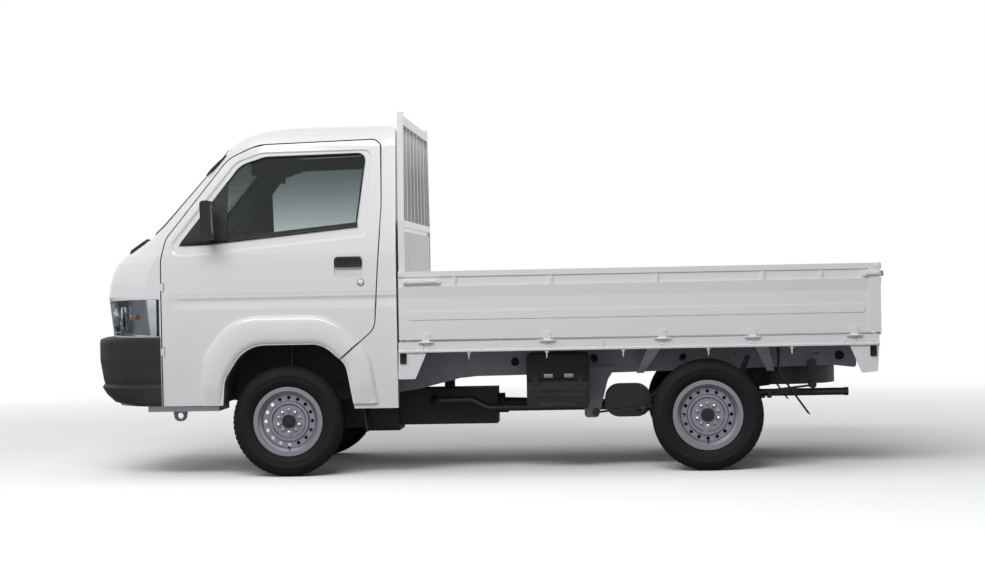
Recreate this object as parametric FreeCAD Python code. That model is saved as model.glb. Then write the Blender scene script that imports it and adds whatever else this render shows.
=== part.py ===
import FreeCAD, Part
import os
import math

V = FreeCAD.Vector

# Compact cab-over drop-side truck, in millimetres.
# Origin on the ground at mid length; the cab faces -X, the left side is -Y, up is +Z.

# Overall sizes
LENGTH = 4195.0
WIDTH = 1765.0
FRONT_OVERHANG = 1067.5
REAR_OVERHANG = 922.5
TRACK = 1452.0
WHEEL_Y = TRACK / 2
NOSE_X = -2097.5      # the cab keeps its place when the length changes
TAIL_X = NOSE_X + LENGTH
FRONT_AXLE_X = NOSE_X + FRONT_OVERHANG
REAR_AXLE_X = TAIL_X - REAR_OVERHANG
SIDE_Y = WIDTH / 2

# Clearances
SEAT = 0.3            # between pieces that rest on each other
DOOR_GAP = 6.0        # shut line round a door

# Tyres and rims
TYRE_R = 291.0
TYRE_W = 165.0
BEAD_R = 166.0
BEAD_W = 114.0
FLANGE_R = 183.0
FLANGE_T = 6.0
RIM_WALL = 5.0
DISC_S = 24.0         # face of the wheel disc, outboard of the wheel's middle
VENT_COUNT = 16
VENT_R = 9.5
VENT_PITCH_R = 124.0
CAP_R = 36.0
STUB_R = 16.0
STUB_GAP = 0.5
DRUM_R = 112.0

# Cab shell
CAB_BOTTOM = 357.0
CAB_FRONT_BOTTOM = 384.0
CAB_REAR_X = -440.0
BACK_BOTTOM = 700.0
CAB_HALF = 837.0
BEYOND_Y = CAB_HALF + 60    # clear of the cab's sides, for what cuts across it
WALL = 45.0
GLASS_IN = 5.0        # depth of the glass behind the outer surface
GLASS_T = 6.0
ROOF_SPLIT_Z = 1796.0
SCREEN_BASE_Z = 1268.0
SCREEN_TOP_Z = 1740.0
FENDER_X = -1686.0    # rear edge of the front panel, at the door's shut line

# Each level of the cab: height, front at the centre line, half width, bow of the front,
# corner length, corner width, rear
CAB_LEVELS = [
    (CAB_BOTTOM, -1985.0, 828.0, 22.0, 235.0, 357.0, CAB_REAR_X),
    (620.0, -2000.0, CAB_HALF, 22.0, 240.0, 357.0, CAB_REAR_X),
    (960.0, -2040.0, CAB_HALF, 23.0, 245.0, 357.0, CAB_REAR_X),
    (1028.0, -2032.0, CAB_HALF - 1, 23.0, 245.0, 357.0, CAB_REAR_X),
    (1090.0, -2014.0, CAB_HALF - 3, 24.0, 245.0, 350.0, CAB_REAR_X),
    (1135.0, -1992.0, CAB_HALF - 5, 26.0, 240.0, 340.0, CAB_REAR_X),
    (1176.0, -1952.0, CAB_HALF - 8, 30.0, 225.0, 320.0, CAB_REAR_X),
    (1196.0, -1912.0, CAB_HALF - 11, 34.0, 205.0, 290.0, CAB_REAR_X),
    (SCREEN_BASE_Z, -1800.0, CAB_HALF - 22, 44.0, 130.0, 170.0, CAB_REAR_X),
    (SCREEN_TOP_Z, -1385.0, CAB_HALF - 102, 44.0, 110.0, 140.0, CAB_REAR_X),
    (ROOF_SPLIT_Z, -1304.0, CAB_HALF - 122, 44.0, 110.0, 140.0, CAB_REAR_X),
    (1824.0, -1238.0, CAB_HALF - 158, 44.0, 120.0, 150.0, CAB_REAR_X - 8),
    (1842.0, -1160.0, CAB_HALF - 215, 44.0, 130.0, 150.0, CAB_REAR_X - 22),
    (1857.0, -1040.0, CAB_HALF - 330, 44.0, 150.0, 160.0, CAB_REAR_X - 46),
    (1868.0, -900.0, CAB_HALF - 520, 44.0, 150.0, 150.0, CAB_REAR_X - 90),
]

# Front bumper: height, front at the centre line, half width
BUMPER_HALF = 843.0
SLAT_Z = [560.0, 592.0, 624.0, 656.0]
SLAT_H = 20.0
SLAT_HALF = 400.0
BUMPER_LEVELS = [
    (385.0, -1930.0, BUMPER_HALF - 6),
    (402.0, -2008.0, BUMPER_HALF - 2),
    (440.0, -2056.0, BUMPER_HALF),
    (481.0, -2087.0, BUMPER_HALF),
    (498.0, -2072.0, BUMPER_HALF - 4),
    (522.0, -2078.0, BUMPER_HALF),
    (625.0, NOSE_X, BUMPER_HALF),
    (721.0, NOSE_X, BUMPER_HALF),
    (738.0, -2092.0, BUMPER_HALF - 1),
    (750.0, -2050.0, BUMPER_HALF - 4),
]
BUMPER_BOW = 19.0
BUMPER_CORNER_X = -1778.0    # where the rounded corner meets the side
BUMPER_CORNER_W = 363.0

# Door outline in X and Z, with corner radii, down to the arch opening
DOOR_FRONT_X = -1680.0
DOOR_OUTLINE = [
    (DOOR_FRONT_X, CAB_FRONT_BOTTOM),
    (DOOR_FRONT_X, 1150.0, 200.0),
    (-1655.0, 1262.0, 90.0),
    (-1330.0, 1680.0, 160.0),
    (-1170.0, 1752.0, 200.0),
    (-516.0, 1770.0, 50.0),
    (-518.0, 1420.0, 900.0),
    (-546.0, 1000.0, 900.0),
    (-560.0, 775.0, 90.0),
    (-746.0, 616.0),
    (-760.0, CAB_FRONT_BOTTOM),
]
DOOR_PIN = (-1672.0, CAB_HALF - 1)
DOOR_PIN_R = 3.0
DOOR_HINGE_Z = [650.0, 990.0]
DOOR_HINGE_L = 40.0
WINDOW_OUTLINE = [
    (-1590.0, 1226.0, 14.0),
    (-1430.0, 1230.0, 300.0),
    (-645.0, 1309.0, 26.0),
    (-593.0, 1702.0, 40.0),
    (-1130.0, 1692.0, 140.0),
    (-1262.0, 1650.0, 120.0),
]

RECESS_DEPTH = 6.0
RECESS_OUTER = [
    (-1630.0, 1168.0, 40.0),
    (-1560.0, 1156.0, 40.0),
    (-588.0, 1250.0, 40.0),
    (-560.0, 1722.0, 40.0),
    (-1152.0, 1718.0, 160.0),
    (-1292.0, 1668.0, 130.0),
    (-1636.0, 1240.0, 30.0),
]
RECESS_INNER = [
    (-1610.0, 1185.0, 30.0),
    (-1558.0, 1177.0, 30.0),
    (-605.0, 1270.0, 30.0),
    (-577.0, 1711.0, 30.0),
    (-1146.0, 1706.0, 150.0),
    (-1280.0, 1660.0, 120.0),
    (-1612.0, 1236.0, 20.0),
]

# Wheel arch of the cab, in X and Z
ARCH_OUTLINE = [
    (-1368.0, 300.0),
    (-1352.0, 520.0, 120.0),
    (-1240.0, 697.0, 190.0),
    (-835.0, 697.0, 150.0),
    (-712.0, 590.0, 110.0),
    (-660.0, 300.0),
]
FLARE_OUTLINE = [
    (-1470.0, 384.0),
    (-1452.0, 640.0, 170.0),
    (-1310.0, 838.0, 260.0),
    (-790.0, 838.0, 260.0),
    (-600.0, 640.0, 170.0),
    (-560.0, 384.0),
]
FLARE_PROUD = 8.0
CREASE_Z = (884.0, 930.0, 966.0)
CREASE_DEPTH = 7.0
HANDLE_X = (-765.0, -615.0)
HANDLE_Z = (1048.0, 1154.0)
HANDLE_DEPTH = 16.0
SAIL_X = (-1600.0, -1330.0)

# Lamps
LAMP_Z = (752.0, 948.0)
LAMP_INNER_Y = 430.0
LAMP_DEPTH = 70.0
LAMP_REAR_X = -1694.0
GRILLE_Z = (856.0, 936.0)
GRILLE_HALF = 372.0

# Windows seen from the front and the back, half outlines in Y and Z
SCREEN_HALF = [(742.0, 1292.0, 50.0), (672.0, 1738.0, 60.0)]
BACK_WINDOW_HALF = [(600.0, 1300.0, 50.0), (560.0, 1640.0, 60.0)]

# Cab floor
FLOOR_Z = 500.0
FLOOR_T = 20.0
STEP_BOTTOM = 352.0
STEP_X = (-1774.0, -1395.0)
STEP_Y = 470.0
PLATFORM_Z = 770.0
PLATFORM_FRONT_X = -1420.0
FLOOR_HALF = CAB_HALF - WALL - 15
DASH_HALF = FLOOR_HALF - 30
SEAT_Y = (150.0, 640.0)

# Ladder frame
RAIL_Y = (380.0, 440.0)
RAIL_FRONT_X = -1780.0
RAIL_REAR_X = TAIL_X - 113.5
RAIL_TOP = 644.0
RAIL_LOW_TOP = 470.0
RAIL_LOW_BOTTOM = 395.0
RAIL_RISE_X = -640.0     # where the low front part starts to rise
CROSS_X = [RAIL_FRONT_X + 30, -230.0, REAR_AXLE_X - 755, REAR_AXLE_X - 165, RAIL_REAR_X - 39]
CROSS_W = 50.0

# Towing eye
TOW_EYE = (-1630.0, 322.0)
TOW_EYE_Y = 632.0
TOW_EYE_R = 16.0
TOW_EYE_WALL = 13.0
TOW_EYE_T = 16.0

# Deck
DECK_X = (-431.0, TAIL_X - 37.5)
DECK_TOP = 706.0
DECK_T = 8.0
DECK_HALF = SIDE_Y - 22.5
BEARER_COUNT = 7
BEARER_W = 46.0
BEARER_FIRST_X = DECK_X[0] + 31
BEARER_STEP = (DECK_X[1] - 50 - BEARER_FIRST_X) / (BEARER_COUNT - 1)
BEARER_X = [BEARER_FIRST_X + BEARER_STEP * i for i in range(BEARER_COUNT)]
DECK_RAIL_BOTTOM = 644.0
DECK_RAIL_T = 12.0
FLOOR_RIB_COUNT = 13
FLOOR_RIB_W = 60.0
FLOOR_RIB_H = 6.0
DECK_SLAB_TOP = DECK_TOP - FLOOR_RIB_H
DECK_UNDER = DECK_SLAB_TOP - DECK_T

# Gates
GATE_OUTER = SIDE_Y - 10.5
GATE_T = 26.0
GATE_BOTTOM = 712.0
GATE_TOP = 1068.0
SIDE_GATE_X = (DECK_X[0] + 5, DECK_X[1] + 10)
HINGE_Z = 698.0
HINGE_R = 8.0
HINGE_Y = SIDE_Y - HINGE_R
HINGE_PIN_R = 4.0
HINGE_L = 80.0
HINGE_X = [DECK_X[0] + (DECK_X[1] - DECK_X[0]) * share for share in (0.058, 0.312, 0.552, 0.738, 0.948)]
TAB_X = [DECK_X[0] + (DECK_X[1] - DECK_X[0]) * share for share in (0.12, 0.321, 0.542, 0.762, 0.882)]
CREASE_X = SIDE_GATE_X[1] - 67
TAILGATE_HALF = GATE_OUTER - GATE_T - 8
TAIL_HINGE_X = TAIL_X - HINGE_R
TAILGATE_OUTER = TAIL_HINGE_X - 12.0
TAIL_HINGE_Y = [-600.0, 0.0, 600.0]

# Headboard
BOARD_X = (-425.0, -395.0)
BOARD_HALF = DECK_HALF - 22
BOARD_TOP_HALF = BOARD_HALF - 93
BOARD_TOP_Z = 1866.0
BOARD_MID_Z = DECK_TOP + (BOARD_TOP_Z - DECK_TOP) * 0.53
POST_TOP_Z = BOARD_TOP_Z + 44
BOARD_BAR_COUNT = 6
SHEET_RIB_COUNT = 15

# Drive line and suspension
GEARBOX_HALF = 120.0
GEARBOX_Z = (222.0, 420.0)
MEMBER_Z = (530.0, 610.0)
BALL_Y = 632.0
BALL_Z = 190.0
STRUT_TOP_Y = 578.0
STRUT_TOP_Z = PLATFORM_Z - FLOOR_T - 1.6
STRUT_R = 24.0
PISTON_R = 12.0
BALL_R = 12.0
STUD_PIN_R = 7.0
SOCKET_R = 22.0
AXLE_TUBE_R = 38.0

# What hangs between the cab and the rear axle keeps its share of the room there
def behind_cab(share):
    return CAB_REAR_X + (REAR_AXLE_X - CAB_REAR_X) * share


PIPE_X = [behind_cab(share) for share in (0.0867, 0.218, 0.2724)]
MUFFLER_X = (behind_cab(0.6663), behind_cab(0.8229))
BATTERY_X = (behind_cab(0.4136), behind_cab(0.6167))
BATTERY_LID_Z = 479.0
BATTERY_Y = (500.0, 690.0)
TANK_X = (behind_cab(0.3839), behind_cab(0.582))
SPARE_X = TAIL_X - 482.5
FLAP_X = REAR_AXLE_X + 372
SPRING_Y = (462.0, 522.0)
SPRING_FRONT = (REAR_AXLE_X - 585, 300.0)
SPRING_REAR = (REAR_AXLE_X + 570, 428.0)
SPRING_EYE_R = 19.0
LEAF_COUNT = 4
LEAF_T = 8.0


# Geometry helpers

def box(x, y, z):
    return Part.makeBox(x[1] - x[0], y[1] - y[0], z[1] - z[0], V(x[0], y[0], z[0]))


def rod(start, end, radius):
    line = V(*end) - V(*start)
    return Part.makeCylinder(radius, line.Length, V(*start), line)


def corner(before, here, after, radius):
    """Start, middle and end of the arc that rounds one corner."""
    back = (before - here).normalize()
    ahead = (after - here).normalize()
    half = back.getAngle(ahead) / 2
    reach = radius / math.tan(half)
    inward = (back + ahead).normalize()
    middle = here + inward * (radius / math.sin(half) - radius)
    return here + back * reach, middle, here + ahead * reach


def rounded_wire(points, place):
    """Closed outline; a third number on a point is the radius of its corner."""
    flat = [V(p[0], p[1], 0) for p in points]
    stops = []
    for i, p in enumerate(points):
        radius = p[2] if len(p) > 2 else 0
        if radius:
            stops.append(corner(flat[i - 1], flat[i], flat[(i + 1) % len(flat)], radius))
        else:
            stops.append((flat[i], None, flat[i]))
    edges = []
    for i, (start, middle, end) in enumerate(stops):
        last = stops[i - 1][2]
        if (start - last).Length > 0.001:
            edges.append(Part.makeLine(place(last), place(start)))
        if middle is not None:
            edges.append(Part.Arc(place(start), place(middle), place(end)).toShape())
    return Part.Wire(Part.__sortEdges__(edges))


def side_prism(points, y0, y1):
    """Outline in X and Z, carried along Y."""
    wire = rounded_wire(points, lambda p: V(p.x, y0, p.y))
    return Part.Face(wire).extrude(V(0, y1 - y0, 0))


def front_prism(points, x0, x1):
    """Outline in Y and Z, carried along X."""
    wire = rounded_wire(points, lambda p: V(x0, p.x, p.y))
    return Part.Face(wire).extrude(V(x1 - x0, 0, 0))


def plan_prism(points, z0, z1):
    """Outline in X and Y, carried along Z."""
    wire = rounded_wire(points, lambda p: V(p.x, p.y, z0))
    return Part.Face(wire).extrude(V(0, 0, z1 - z0))


def grown(points, offset, y0, y1):
    """The side outline, moved outward by an offset and carried along Y."""
    wire = rounded_wire(points, lambda p: V(p.x, y0, p.y))
    face = Part.Face(wire.makeOffset2D(offset))
    return face.extrude(V(0, y1 - y0, 0))


def both_halves(half):
    """A right half outline and its mirror image, as one closed outline."""
    left = [(-p[0],) + tuple(p[1:]) for p in reversed(half)]
    return half + left


def mirrored(shape):
    return shape.mirror(V(0, 0, 0), V(0, 1, 0))


def fused(shapes):
    whole = shapes[0].multiFuse(shapes[1:]) if len(shapes) > 1 else shapes[0]
    return whole.removeSplitter()


def turned(profile, centre, axis_end):
    """Revolves a closed profile of (radius, along) about a line along Y."""
    points = [V(centre.x + r, centre.y + s * axis_end, centre.z) for r, s in profile]
    face = Part.Face(Part.makePolygon(points + points[:1]))
    return face.revolve(centre, V(0, 1, 0), 360)


def tube(points, radius, bend):
    """Round bar along straight runs joined by tangent arcs."""
    path = [V(*p) for p in points]
    edges = []
    last = path[0]
    for i in range(1, len(path) - 1):
        start, middle, end = corner(path[i - 1], path[i], path[i + 1], bend)
        edges.append(Part.makeLine(last, start))
        edges.append(Part.Arc(start, middle, end).toShape())
        last = end
    edges.append(Part.makeLine(last, path[-1]))
    circle = Part.makeCircle(radius, path[0], path[1] - path[0])
    return Part.Wire(edges).makePipeShell([Part.Wire([circle])], True, False)


# Cab shell

def cab_section(level, inset):
    z, front, half, bow, length, width, rear = level
    front += inset
    half -= inset
    rear -= inset
    if z > SCREEN_BASE_Z:
        z -= inset
    start_x = front + bow
    start_y = half - width
    end_x = start_x + length
    share = 1 - math.sqrt(0.5)
    mid_x = start_x + length * share
    mid_y = half - width * share
    return Part.Wire([
        Part.Arc(V(start_x, -start_y, z), V(front, 0, z), V(start_x, start_y, z)).toShape(),
        Part.Arc(V(start_x, start_y, z), V(mid_x, mid_y, z), V(end_x, half, z)).toShape(),
        Part.makeLine(V(end_x, half, z), V(rear, half, z)),
        Part.makeLine(V(rear, half, z), V(rear, -half, z)),
        Part.makeLine(V(rear, -half, z), V(end_x, -half, z)),
        Part.Arc(V(end_x, -half, z), V(mid_x, -mid_y, z), V(start_x, -start_y, z)).toShape(),
    ])


def cab_form(inset):
    """The whole cab as one solid, its surface moved inward by the inset."""
    return Part.makeLoft([cab_section(level, inset) for level in CAB_LEVELS], True, True)


def bumper_form():
    sections = []
    for z, front, half in BUMPER_LEVELS:
        length = BUMPER_CORNER_X - front - BUMPER_BOW
        level = (z, front, half, BUMPER_BOW, length, BUMPER_CORNER_W, LAMP_REAR_X + 4)
        sections.append(cab_section(level, 0))
    return Part.makeLoft(sections, True, True)


def sides(shape):
    return [shape, mirrored(shape)]


def window_prism(offset):
    return grown(WINDOW_OUTLINE, offset, -BEYOND_Y, -CAB_HALF + 260)


def door_prism(offset):
    if offset == 0:
        return side_prism(DOOR_OUTLINE, -BEYOND_Y, -CAB_HALF + 260)
    return grown(DOOR_OUTLINE, offset, -BEYOND_Y, -CAB_HALF + 260)


def arch_flare():
    """Raised band round the wheel arch."""
    inner = -CAB_HALF + WALL / 2
    return side_prism(FLARE_OUTLINE, -CAB_HALF - FLARE_PROUD, inner)


def crease():
    """Stepped groove along the door below the window."""
    low, middle, high = CREASE_Z
    deep = -CAB_HALF + CREASE_DEPTH
    profile = [(-CAB_HALF - 20, low), (deep, low + 8), (deep, middle), (-CAB_HALF - 20, high + 40)]
    return front_prism(profile, -1640.0, CAB_REAR_X + 20)


def handle_recess():
    outline = [
        (HANDLE_X[0], HANDLE_Z[0], 20.0),
        (HANDLE_X[0], HANDLE_Z[1], 20.0),
        (HANDLE_X[1], HANDLE_Z[1], 20.0),
        (HANDLE_X[1], HANDLE_Z[0], 20.0),
    ]
    return side_prism(outline, -CAB_HALF - 20, -CAB_HALF + HANDLE_DEPTH)


def window_recess():
    """Shallow dished panel round the left side window, with sloping edges."""
    base_z, base_half = SCREEN_BASE_Z, CAB_HALF - 22
    lean = 80.0 / (SCREEN_TOP_Z - SCREEN_BASE_Z)
    wires = []
    for points, depth in ((RECESS_OUTER, -2.0), (RECESS_INNER, RECESS_DEPTH)):
        level = depth - base_half
        wires.append(rounded_wire(points, lambda p: V(p.x, level + (p.y - base_z) * lean, p.y)))
    return Part.makeLoft(wires, True, True)


def vent_slots():
    slots = []
    for z in (437.0, 469.0):
        slots.append(box((-632.0, -488.0), (-CAB_HALF - 20, -CAB_HALF + 6), (z - 6, z + 6)))
    return slots


def lamp_prism(grow):
    """Front view of the left headlamp, carried back along X."""
    inner = -LAMP_INNER_Y + grow
    low = LAMP_Z[0] - grow
    high = LAMP_Z[1] + grow
    outline = [
        (inner, low + 22, 12.0),
        (inner, high - 22, 16.0),
        (-CAB_HALF - 40, high),
        (-CAB_HALF - 40, low),
    ]
    return front_prism(outline, NOSE_X - 40, LAMP_REAR_X + min(grow, SEAT))


def cab_shell(outer, inner):
    """The walls of the cab with their arches, openings and pressed lines."""
    flares = sides(arch_flare())
    body = outer.multiFuse(flares)
    low_front = box((NOSE_X, FRONT_AXLE_X), (-BEYOND_Y, BEYOND_Y), (CAB_BOTTOM - 50, CAB_FRONT_BOTTOM))
    low_back = box(
        (CAB_REAR_X - WALL - 20, CAB_REAR_X + 20),
        (-CAB_HALF + 70, CAB_HALF - 70),
        (CAB_BOTTOM - 50, BACK_BOTTOM),
    )
    cuts = [inner, low_front, low_back]
    for piece in [crease(), handle_recess(), window_recess(), window_prism(0)] + vent_slots():
        cuts += sides(piece)
    cuts += sides(side_prism(ARCH_OUTLINE, -BEYOND_Y, -CAB_HALF + WALL + 20))
    cuts.append(front_prism(both_halves(SCREEN_HALF), -1950.0, -1150.0))
    cuts.append(front_prism(both_halves(BACK_WINDOW_HALF), CAB_REAR_X - WALL - 20, CAB_REAR_X + 20))
    return body.cut(cuts)


def roof_region():
    over = box((NOSE_X, CAB_REAR_X + 20), (-BEYOND_Y, BEYOND_Y), (ROOF_SPLIT_Z, 2000))
    header = box((-1500, -1200), (-660, 660), (1700, ROOF_SPLIT_Z))
    return over.fuse(header)


def back_region():
    edge = CAB_HALF - 70
    outline = both_halves([(edge, 330.0), (edge, 1230.0), (edge - 102, ROOF_SPLIT_Z)])
    return front_prism(outline, CAB_REAR_X - WALL, CAB_REAR_X + 20)


def grille_outline(grow):
    half = GRILLE_HALF + grow
    low = GRILLE_Z[0] - grow
    high = GRILLE_Z[1] + grow
    return [(-half, low, 14.0), (-half, high, 14.0), (half, high, 14.0), (half, low, 14.0)]


def grille():
    """Panel between the headlamps, with three slots through it."""
    panel = glass_band(front_prism(grille_outline(-SEAT), NOSE_X - 20, -1700.0), -2.0, 16.0)
    slots = []
    pitch = (GRILLE_Z[1] - GRILLE_Z[0]) / 3
    for i in range(3):
        z = GRILLE_Z[0] + pitch * (i + 0.5)
        slot = [(-GRILLE_HALF + 24, z - 7, 6.0), (-GRILLE_HALF + 24, z + 7, 6.0)]
        slots.append(front_prism(both_halves([(-p[0],) + p[1:] for p in slot]), NOSE_X - 20, -1700.0))
    return panel.cut(slots)


def front_region():
    low = box((NOSE_X - 20, FENDER_X), (-BEYOND_Y, BEYOND_Y), (300, SCREEN_BASE_Z - 20))
    cowl = box((NOSE_X - 20, -1700), (-BEYOND_Y, BEYOND_Y), (SCREEN_BASE_Z - 20, 1292))
    return low.fuse(cowl)


def door_hinge(z):
    """Fixed half of a hinge on the left door: its leaf and the pin."""
    x, y = DOOR_PIN
    leaf_x = (FENDER_X - 3, x)
    leaf_half = box(leaf_x, (-y - DOOR_PIN_R, -y + DOOR_PIN_R), (z + 1, z + DOOR_HINGE_L - 1))
    return leaf_half.fuse(Part.makeCylinder(DOOR_PIN_R, DOOR_HINGE_L + 16, V(x, -y, z - 8)))


def door_hinge_pocket(z):
    """What the left door leaves free round a hinge."""
    x, y = DOOR_PIN
    bore = Part.makeCylinder(DOOR_PIN_R + 0.4, DOOR_HINGE_L + 18, V(x, -y, z - 9))
    barrel = Part.makeCylinder(DOOR_PIN_R + 4, DOOR_HINGE_L, V(x, -y, z))
    front = box((DOOR_FRONT_X - 2, x), (-y - 9, -y + DOOR_PIN_R + 4), (z, z + DOOR_HINGE_L))
    return [bore, barrel, front]


def glass_band(region, low, high):
    """Glass between two depths behind the outer surface."""
    return region.common(cab_form(low)).cut(cab_form(high))


def make_cab(parts):
    outer = cab_form(0)
    inner = cab_form(WALL)
    shell = cab_shell(outer, inner)
    roof = shell.common(roof_region())
    walls = shell.cut(roof_region())
    fixed = walls.cut(sides(door_prism(DOOR_GAP)))
    parts["cab_roof"] = roof
    front = fixed.common(front_region())
    lamps = lamp_prism(0).common(outer).cut(cab_form(LAMP_DEPTH))
    front = front.cut(sides(lamp_prism(2.0)))
    front = front.cut(front_prism(grille_outline(0), NOSE_X - 20, -1700.0))
    parts["grille"] = grille()
    for z in DOOR_HINGE_Z:
        front = front.fuse(sides(door_hinge(z)))
    parts["cab_front"] = front
    parts["cab_back"] = fixed.common(back_region()).cut(front_region())
    rest = fixed.cut([front_region(), back_region()])
    left_half = box((NOSE_X, 0), (-BEYOND_Y, 0), (300, 1900))
    parts["cab_side_left"] = rest.common(left_half)
    parts["cab_side_right"] = mirrored(parts["cab_side_left"])
    door = walls.common(door_prism(0))
    for z in DOOR_HINGE_Z:
        door = door.cut(door_hinge_pocket(z))
    parts["door_left"] = door
    parts["door_right"] = mirrored(parts["door_left"])
    screen = front_prism(both_halves(SCREEN_HALF), -1950.0, -1150.0)
    window = front_prism(both_halves(BACK_WINDOW_HALF), CAB_REAR_X - WALL, CAB_REAR_X + 20)
    low = GLASS_IN
    high = GLASS_IN + GLASS_T
    panes = [glass_band(screen, low, high), glass_band(window, low + 12, high + 12)]
    parts["cab_glass"] = Part.makeCompound(panes)
    parts["door_glass_left"] = glass_band(window_prism(0), low + 3, high + 3)
    parts["door_glass_right"] = mirrored(parts["door_glass_left"])
    parts["headlamps"] = Part.makeCompound(sides(lamps))


def front_bumper():
    body = bumper_form().cut(cab_form(-SEAT))
    body = body.cut(box((NOSE_X, 0), (-BEYOND_Y, BEYOND_Y), (LAMP_Z[0] - 3, LAMP_Z[0] + 48)))
    slats = []
    for z in SLAT_Z:
        slats.append(box((NOSE_X - 10, NOSE_X + 40), (-SLAT_HALF, SLAT_HALF), (z, z + SLAT_H)))
    return body.cut(slats)


def cab_floor():
    inside = cab_form(WALL + SEAT)
    slab = box((NOSE_X, PLATFORM_FRONT_X + FLOOR_T), (-BEYOND_Y, BEYOND_Y), (FLOOR_Z - FLOOR_T, FLOOR_Z))
    slab = slab.common(inside)
    beside_door = box((FENDER_X - 20, 0), (FLOOR_HALF, BEYOND_Y), (0, 2000))
    slab = slab.cut(sides(beside_door))
    riser = box(
        (PLATFORM_FRONT_X, PLATFORM_FRONT_X + FLOOR_T),
        (-FLOOR_HALF, FLOOR_HALF),
        (FLOOR_Z - 1, PLATFORM_Z),
    )
    platform = box(
        (PLATFORM_FRONT_X, CAB_REAR_X - WALL - SEAT),
        (-FLOOR_HALF, FLOOR_HALF),
        (PLATFORM_Z - FLOOR_T, PLATFORM_Z),
    )
    tray = box(STEP_X, (STEP_Y, FLOOR_HALF), (STEP_BOTTOM, CAB_FRONT_BOTTOM - 4))
    step = box(STEP_X, (STEP_Y, FLOOR_HALF), (CAB_FRONT_BOTTOM - 5, FLOOR_Z - 1)).common(inside)
    return fused([slab, riser, platform] + sides(tray) + sides(step))


def dashboard():
    outline = [
        (-2000.0, 1010.0),
        (-2000.0, 1250.0),
        (-1640.0, 1250.0, 40.0),
        (-1600.0, 1190.0, 30.0),
        (-1620.0, 1010.0, 30.0),
    ]
    body = side_prism(outline, -DASH_HALF, DASH_HALF).common(cab_form(WALL + SEAT))
    beside_doors = box((FENDER_X - 12, 0), (-BEYOND_Y, BEYOND_Y), (900, 1400)).cut(cab_form(WALL + 8))
    body = body.cut(beside_doors)
    column = rod(COLUMN_FOOT, COLUMN_TOP, 24.0)
    side = WHEEL_CENTRE[1]
    hanger = box((FENDER_X - 4, FENDER_X + 46), (side - 40, side + 40), (760.0, 1020.0))
    return fused([body, column, hanger])


# Steering wheel on the right, tilted towards the driver
WHEEL_RIM_R = 185.0
WHEEL_GRIP_R = 15.0
GRIP_SIDES = 8
SPOKE_R = 11.0
COLUMN_TILT = math.radians(35)
WHEEL_CENTRE = (-1395.0, 370.0, 1125.0)
COLUMN_AXIS = (math.sin(COLUMN_TILT), 0.0, math.cos(COLUMN_TILT))


def along_column(distance):
    return tuple(WHEEL_CENTRE[i] + COLUMN_AXIS[i] * distance for i in range(3))


COLUMN_TOP = along_column(-55.0)
COLUMN_FOOT = along_column(-735.0)


def steering_wheel():
    centre = V(*WHEEL_CENTRE)
    axis = V(*COLUMN_AXIS)
    across = V(0, 1, 0)
    lower = V(COLUMN_AXIS[2], 0, -COLUMN_AXIS[0])
    grip = []
    for i in range(GRIP_SIDES):
        angle = 2 * math.pi * (i + 0.5) / GRIP_SIDES
        out = lower * (WHEEL_RIM_R + WHEEL_GRIP_R * math.cos(angle))
        grip.append(centre + out + axis * (WHEEL_GRIP_R * math.sin(angle)))
    rim = Part.Face(Part.makePolygon(grip + grip[:1])).revolve(centre, axis, 360)
    hub = Part.makeCylinder(45.0, 50.0, V(*along_column(-54.0)), axis)
    spokes = []
    for direction in (across, across * -1, lower):
        spokes.append(Part.makeCylinder(SPOKE_R, WHEEL_RIM_R, centre, direction))
    return fused([rim, hub] + spokes)


def seats():
    under = PLATFORM_Z + SEAT
    cushion_outline = [(-1270.0, under), (-1270.0, 900.0, 45.0), (-800.0, 880.0, 20.0), (-800.0, under)]
    back_outline = [
        (-796.0, 815.0, 30.0),
        (-700.0, 1300.0, 45.0),
        (-590.0, 1300.0, 45.0),
        (-640.0, 815.0, 30.0),
    ]
    cushion = side_prism(cushion_outline, -SEAT_Y[1], -SEAT_Y[0])
    back = side_prism(back_outline, -SEAT_Y[1], -SEAT_Y[0])
    foot = box((-800.0, -640.0), (-SEAT_Y[1] + 40, -SEAT_Y[0] - 40), (under, 830.0))
    return Part.makeCompound(sides(fused([cushion, back, foot])))


def wiper(y, ahead):
    """One parked wiper: its link on the cowl, the arm and the blade on the glass."""
    link_outline = [
        (-1918.0, 1190.0),
        (-1908.0, 1214.0, 6.0),
        (-1850.0, 1254.0, 20.0),
        (-1818.0, 1274.0, 6.0),
        (-1776.0, 1262.0),
        (-1760.0, 1252.0),
        (-1816.0, 1262.0, 6.0),
        (-1842.0, 1236.0, 10.0),
        (-1886.0, 1190.0),
    ]
    link = side_prism([(p[0] + ahead,) + p[1:] for p in link_outline], y - 7, y + 7)
    arm_outline = [(y - 7, 1254.0), (y + 7, 1254.0), (y + 216, 1302.0), (y + 210, 1312.0), (y - 7, 1272.0)]
    blade_outline = [(y - 20, 1300.0), (y - 20, 1309.0), (y + 450, 1322.0), (y + 450, 1312.0)]
    arm = glass_band(front_prism(arm_outline, -1950.0, -1650.0), -18.0, -9.0)
    blade = glass_band(front_prism(blade_outline, -1950.0, -1650.0), -12.0, GLASS_IN - SEAT)
    return fused([link.cut(cab_form(-SEAT)), arm, blade])


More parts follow.
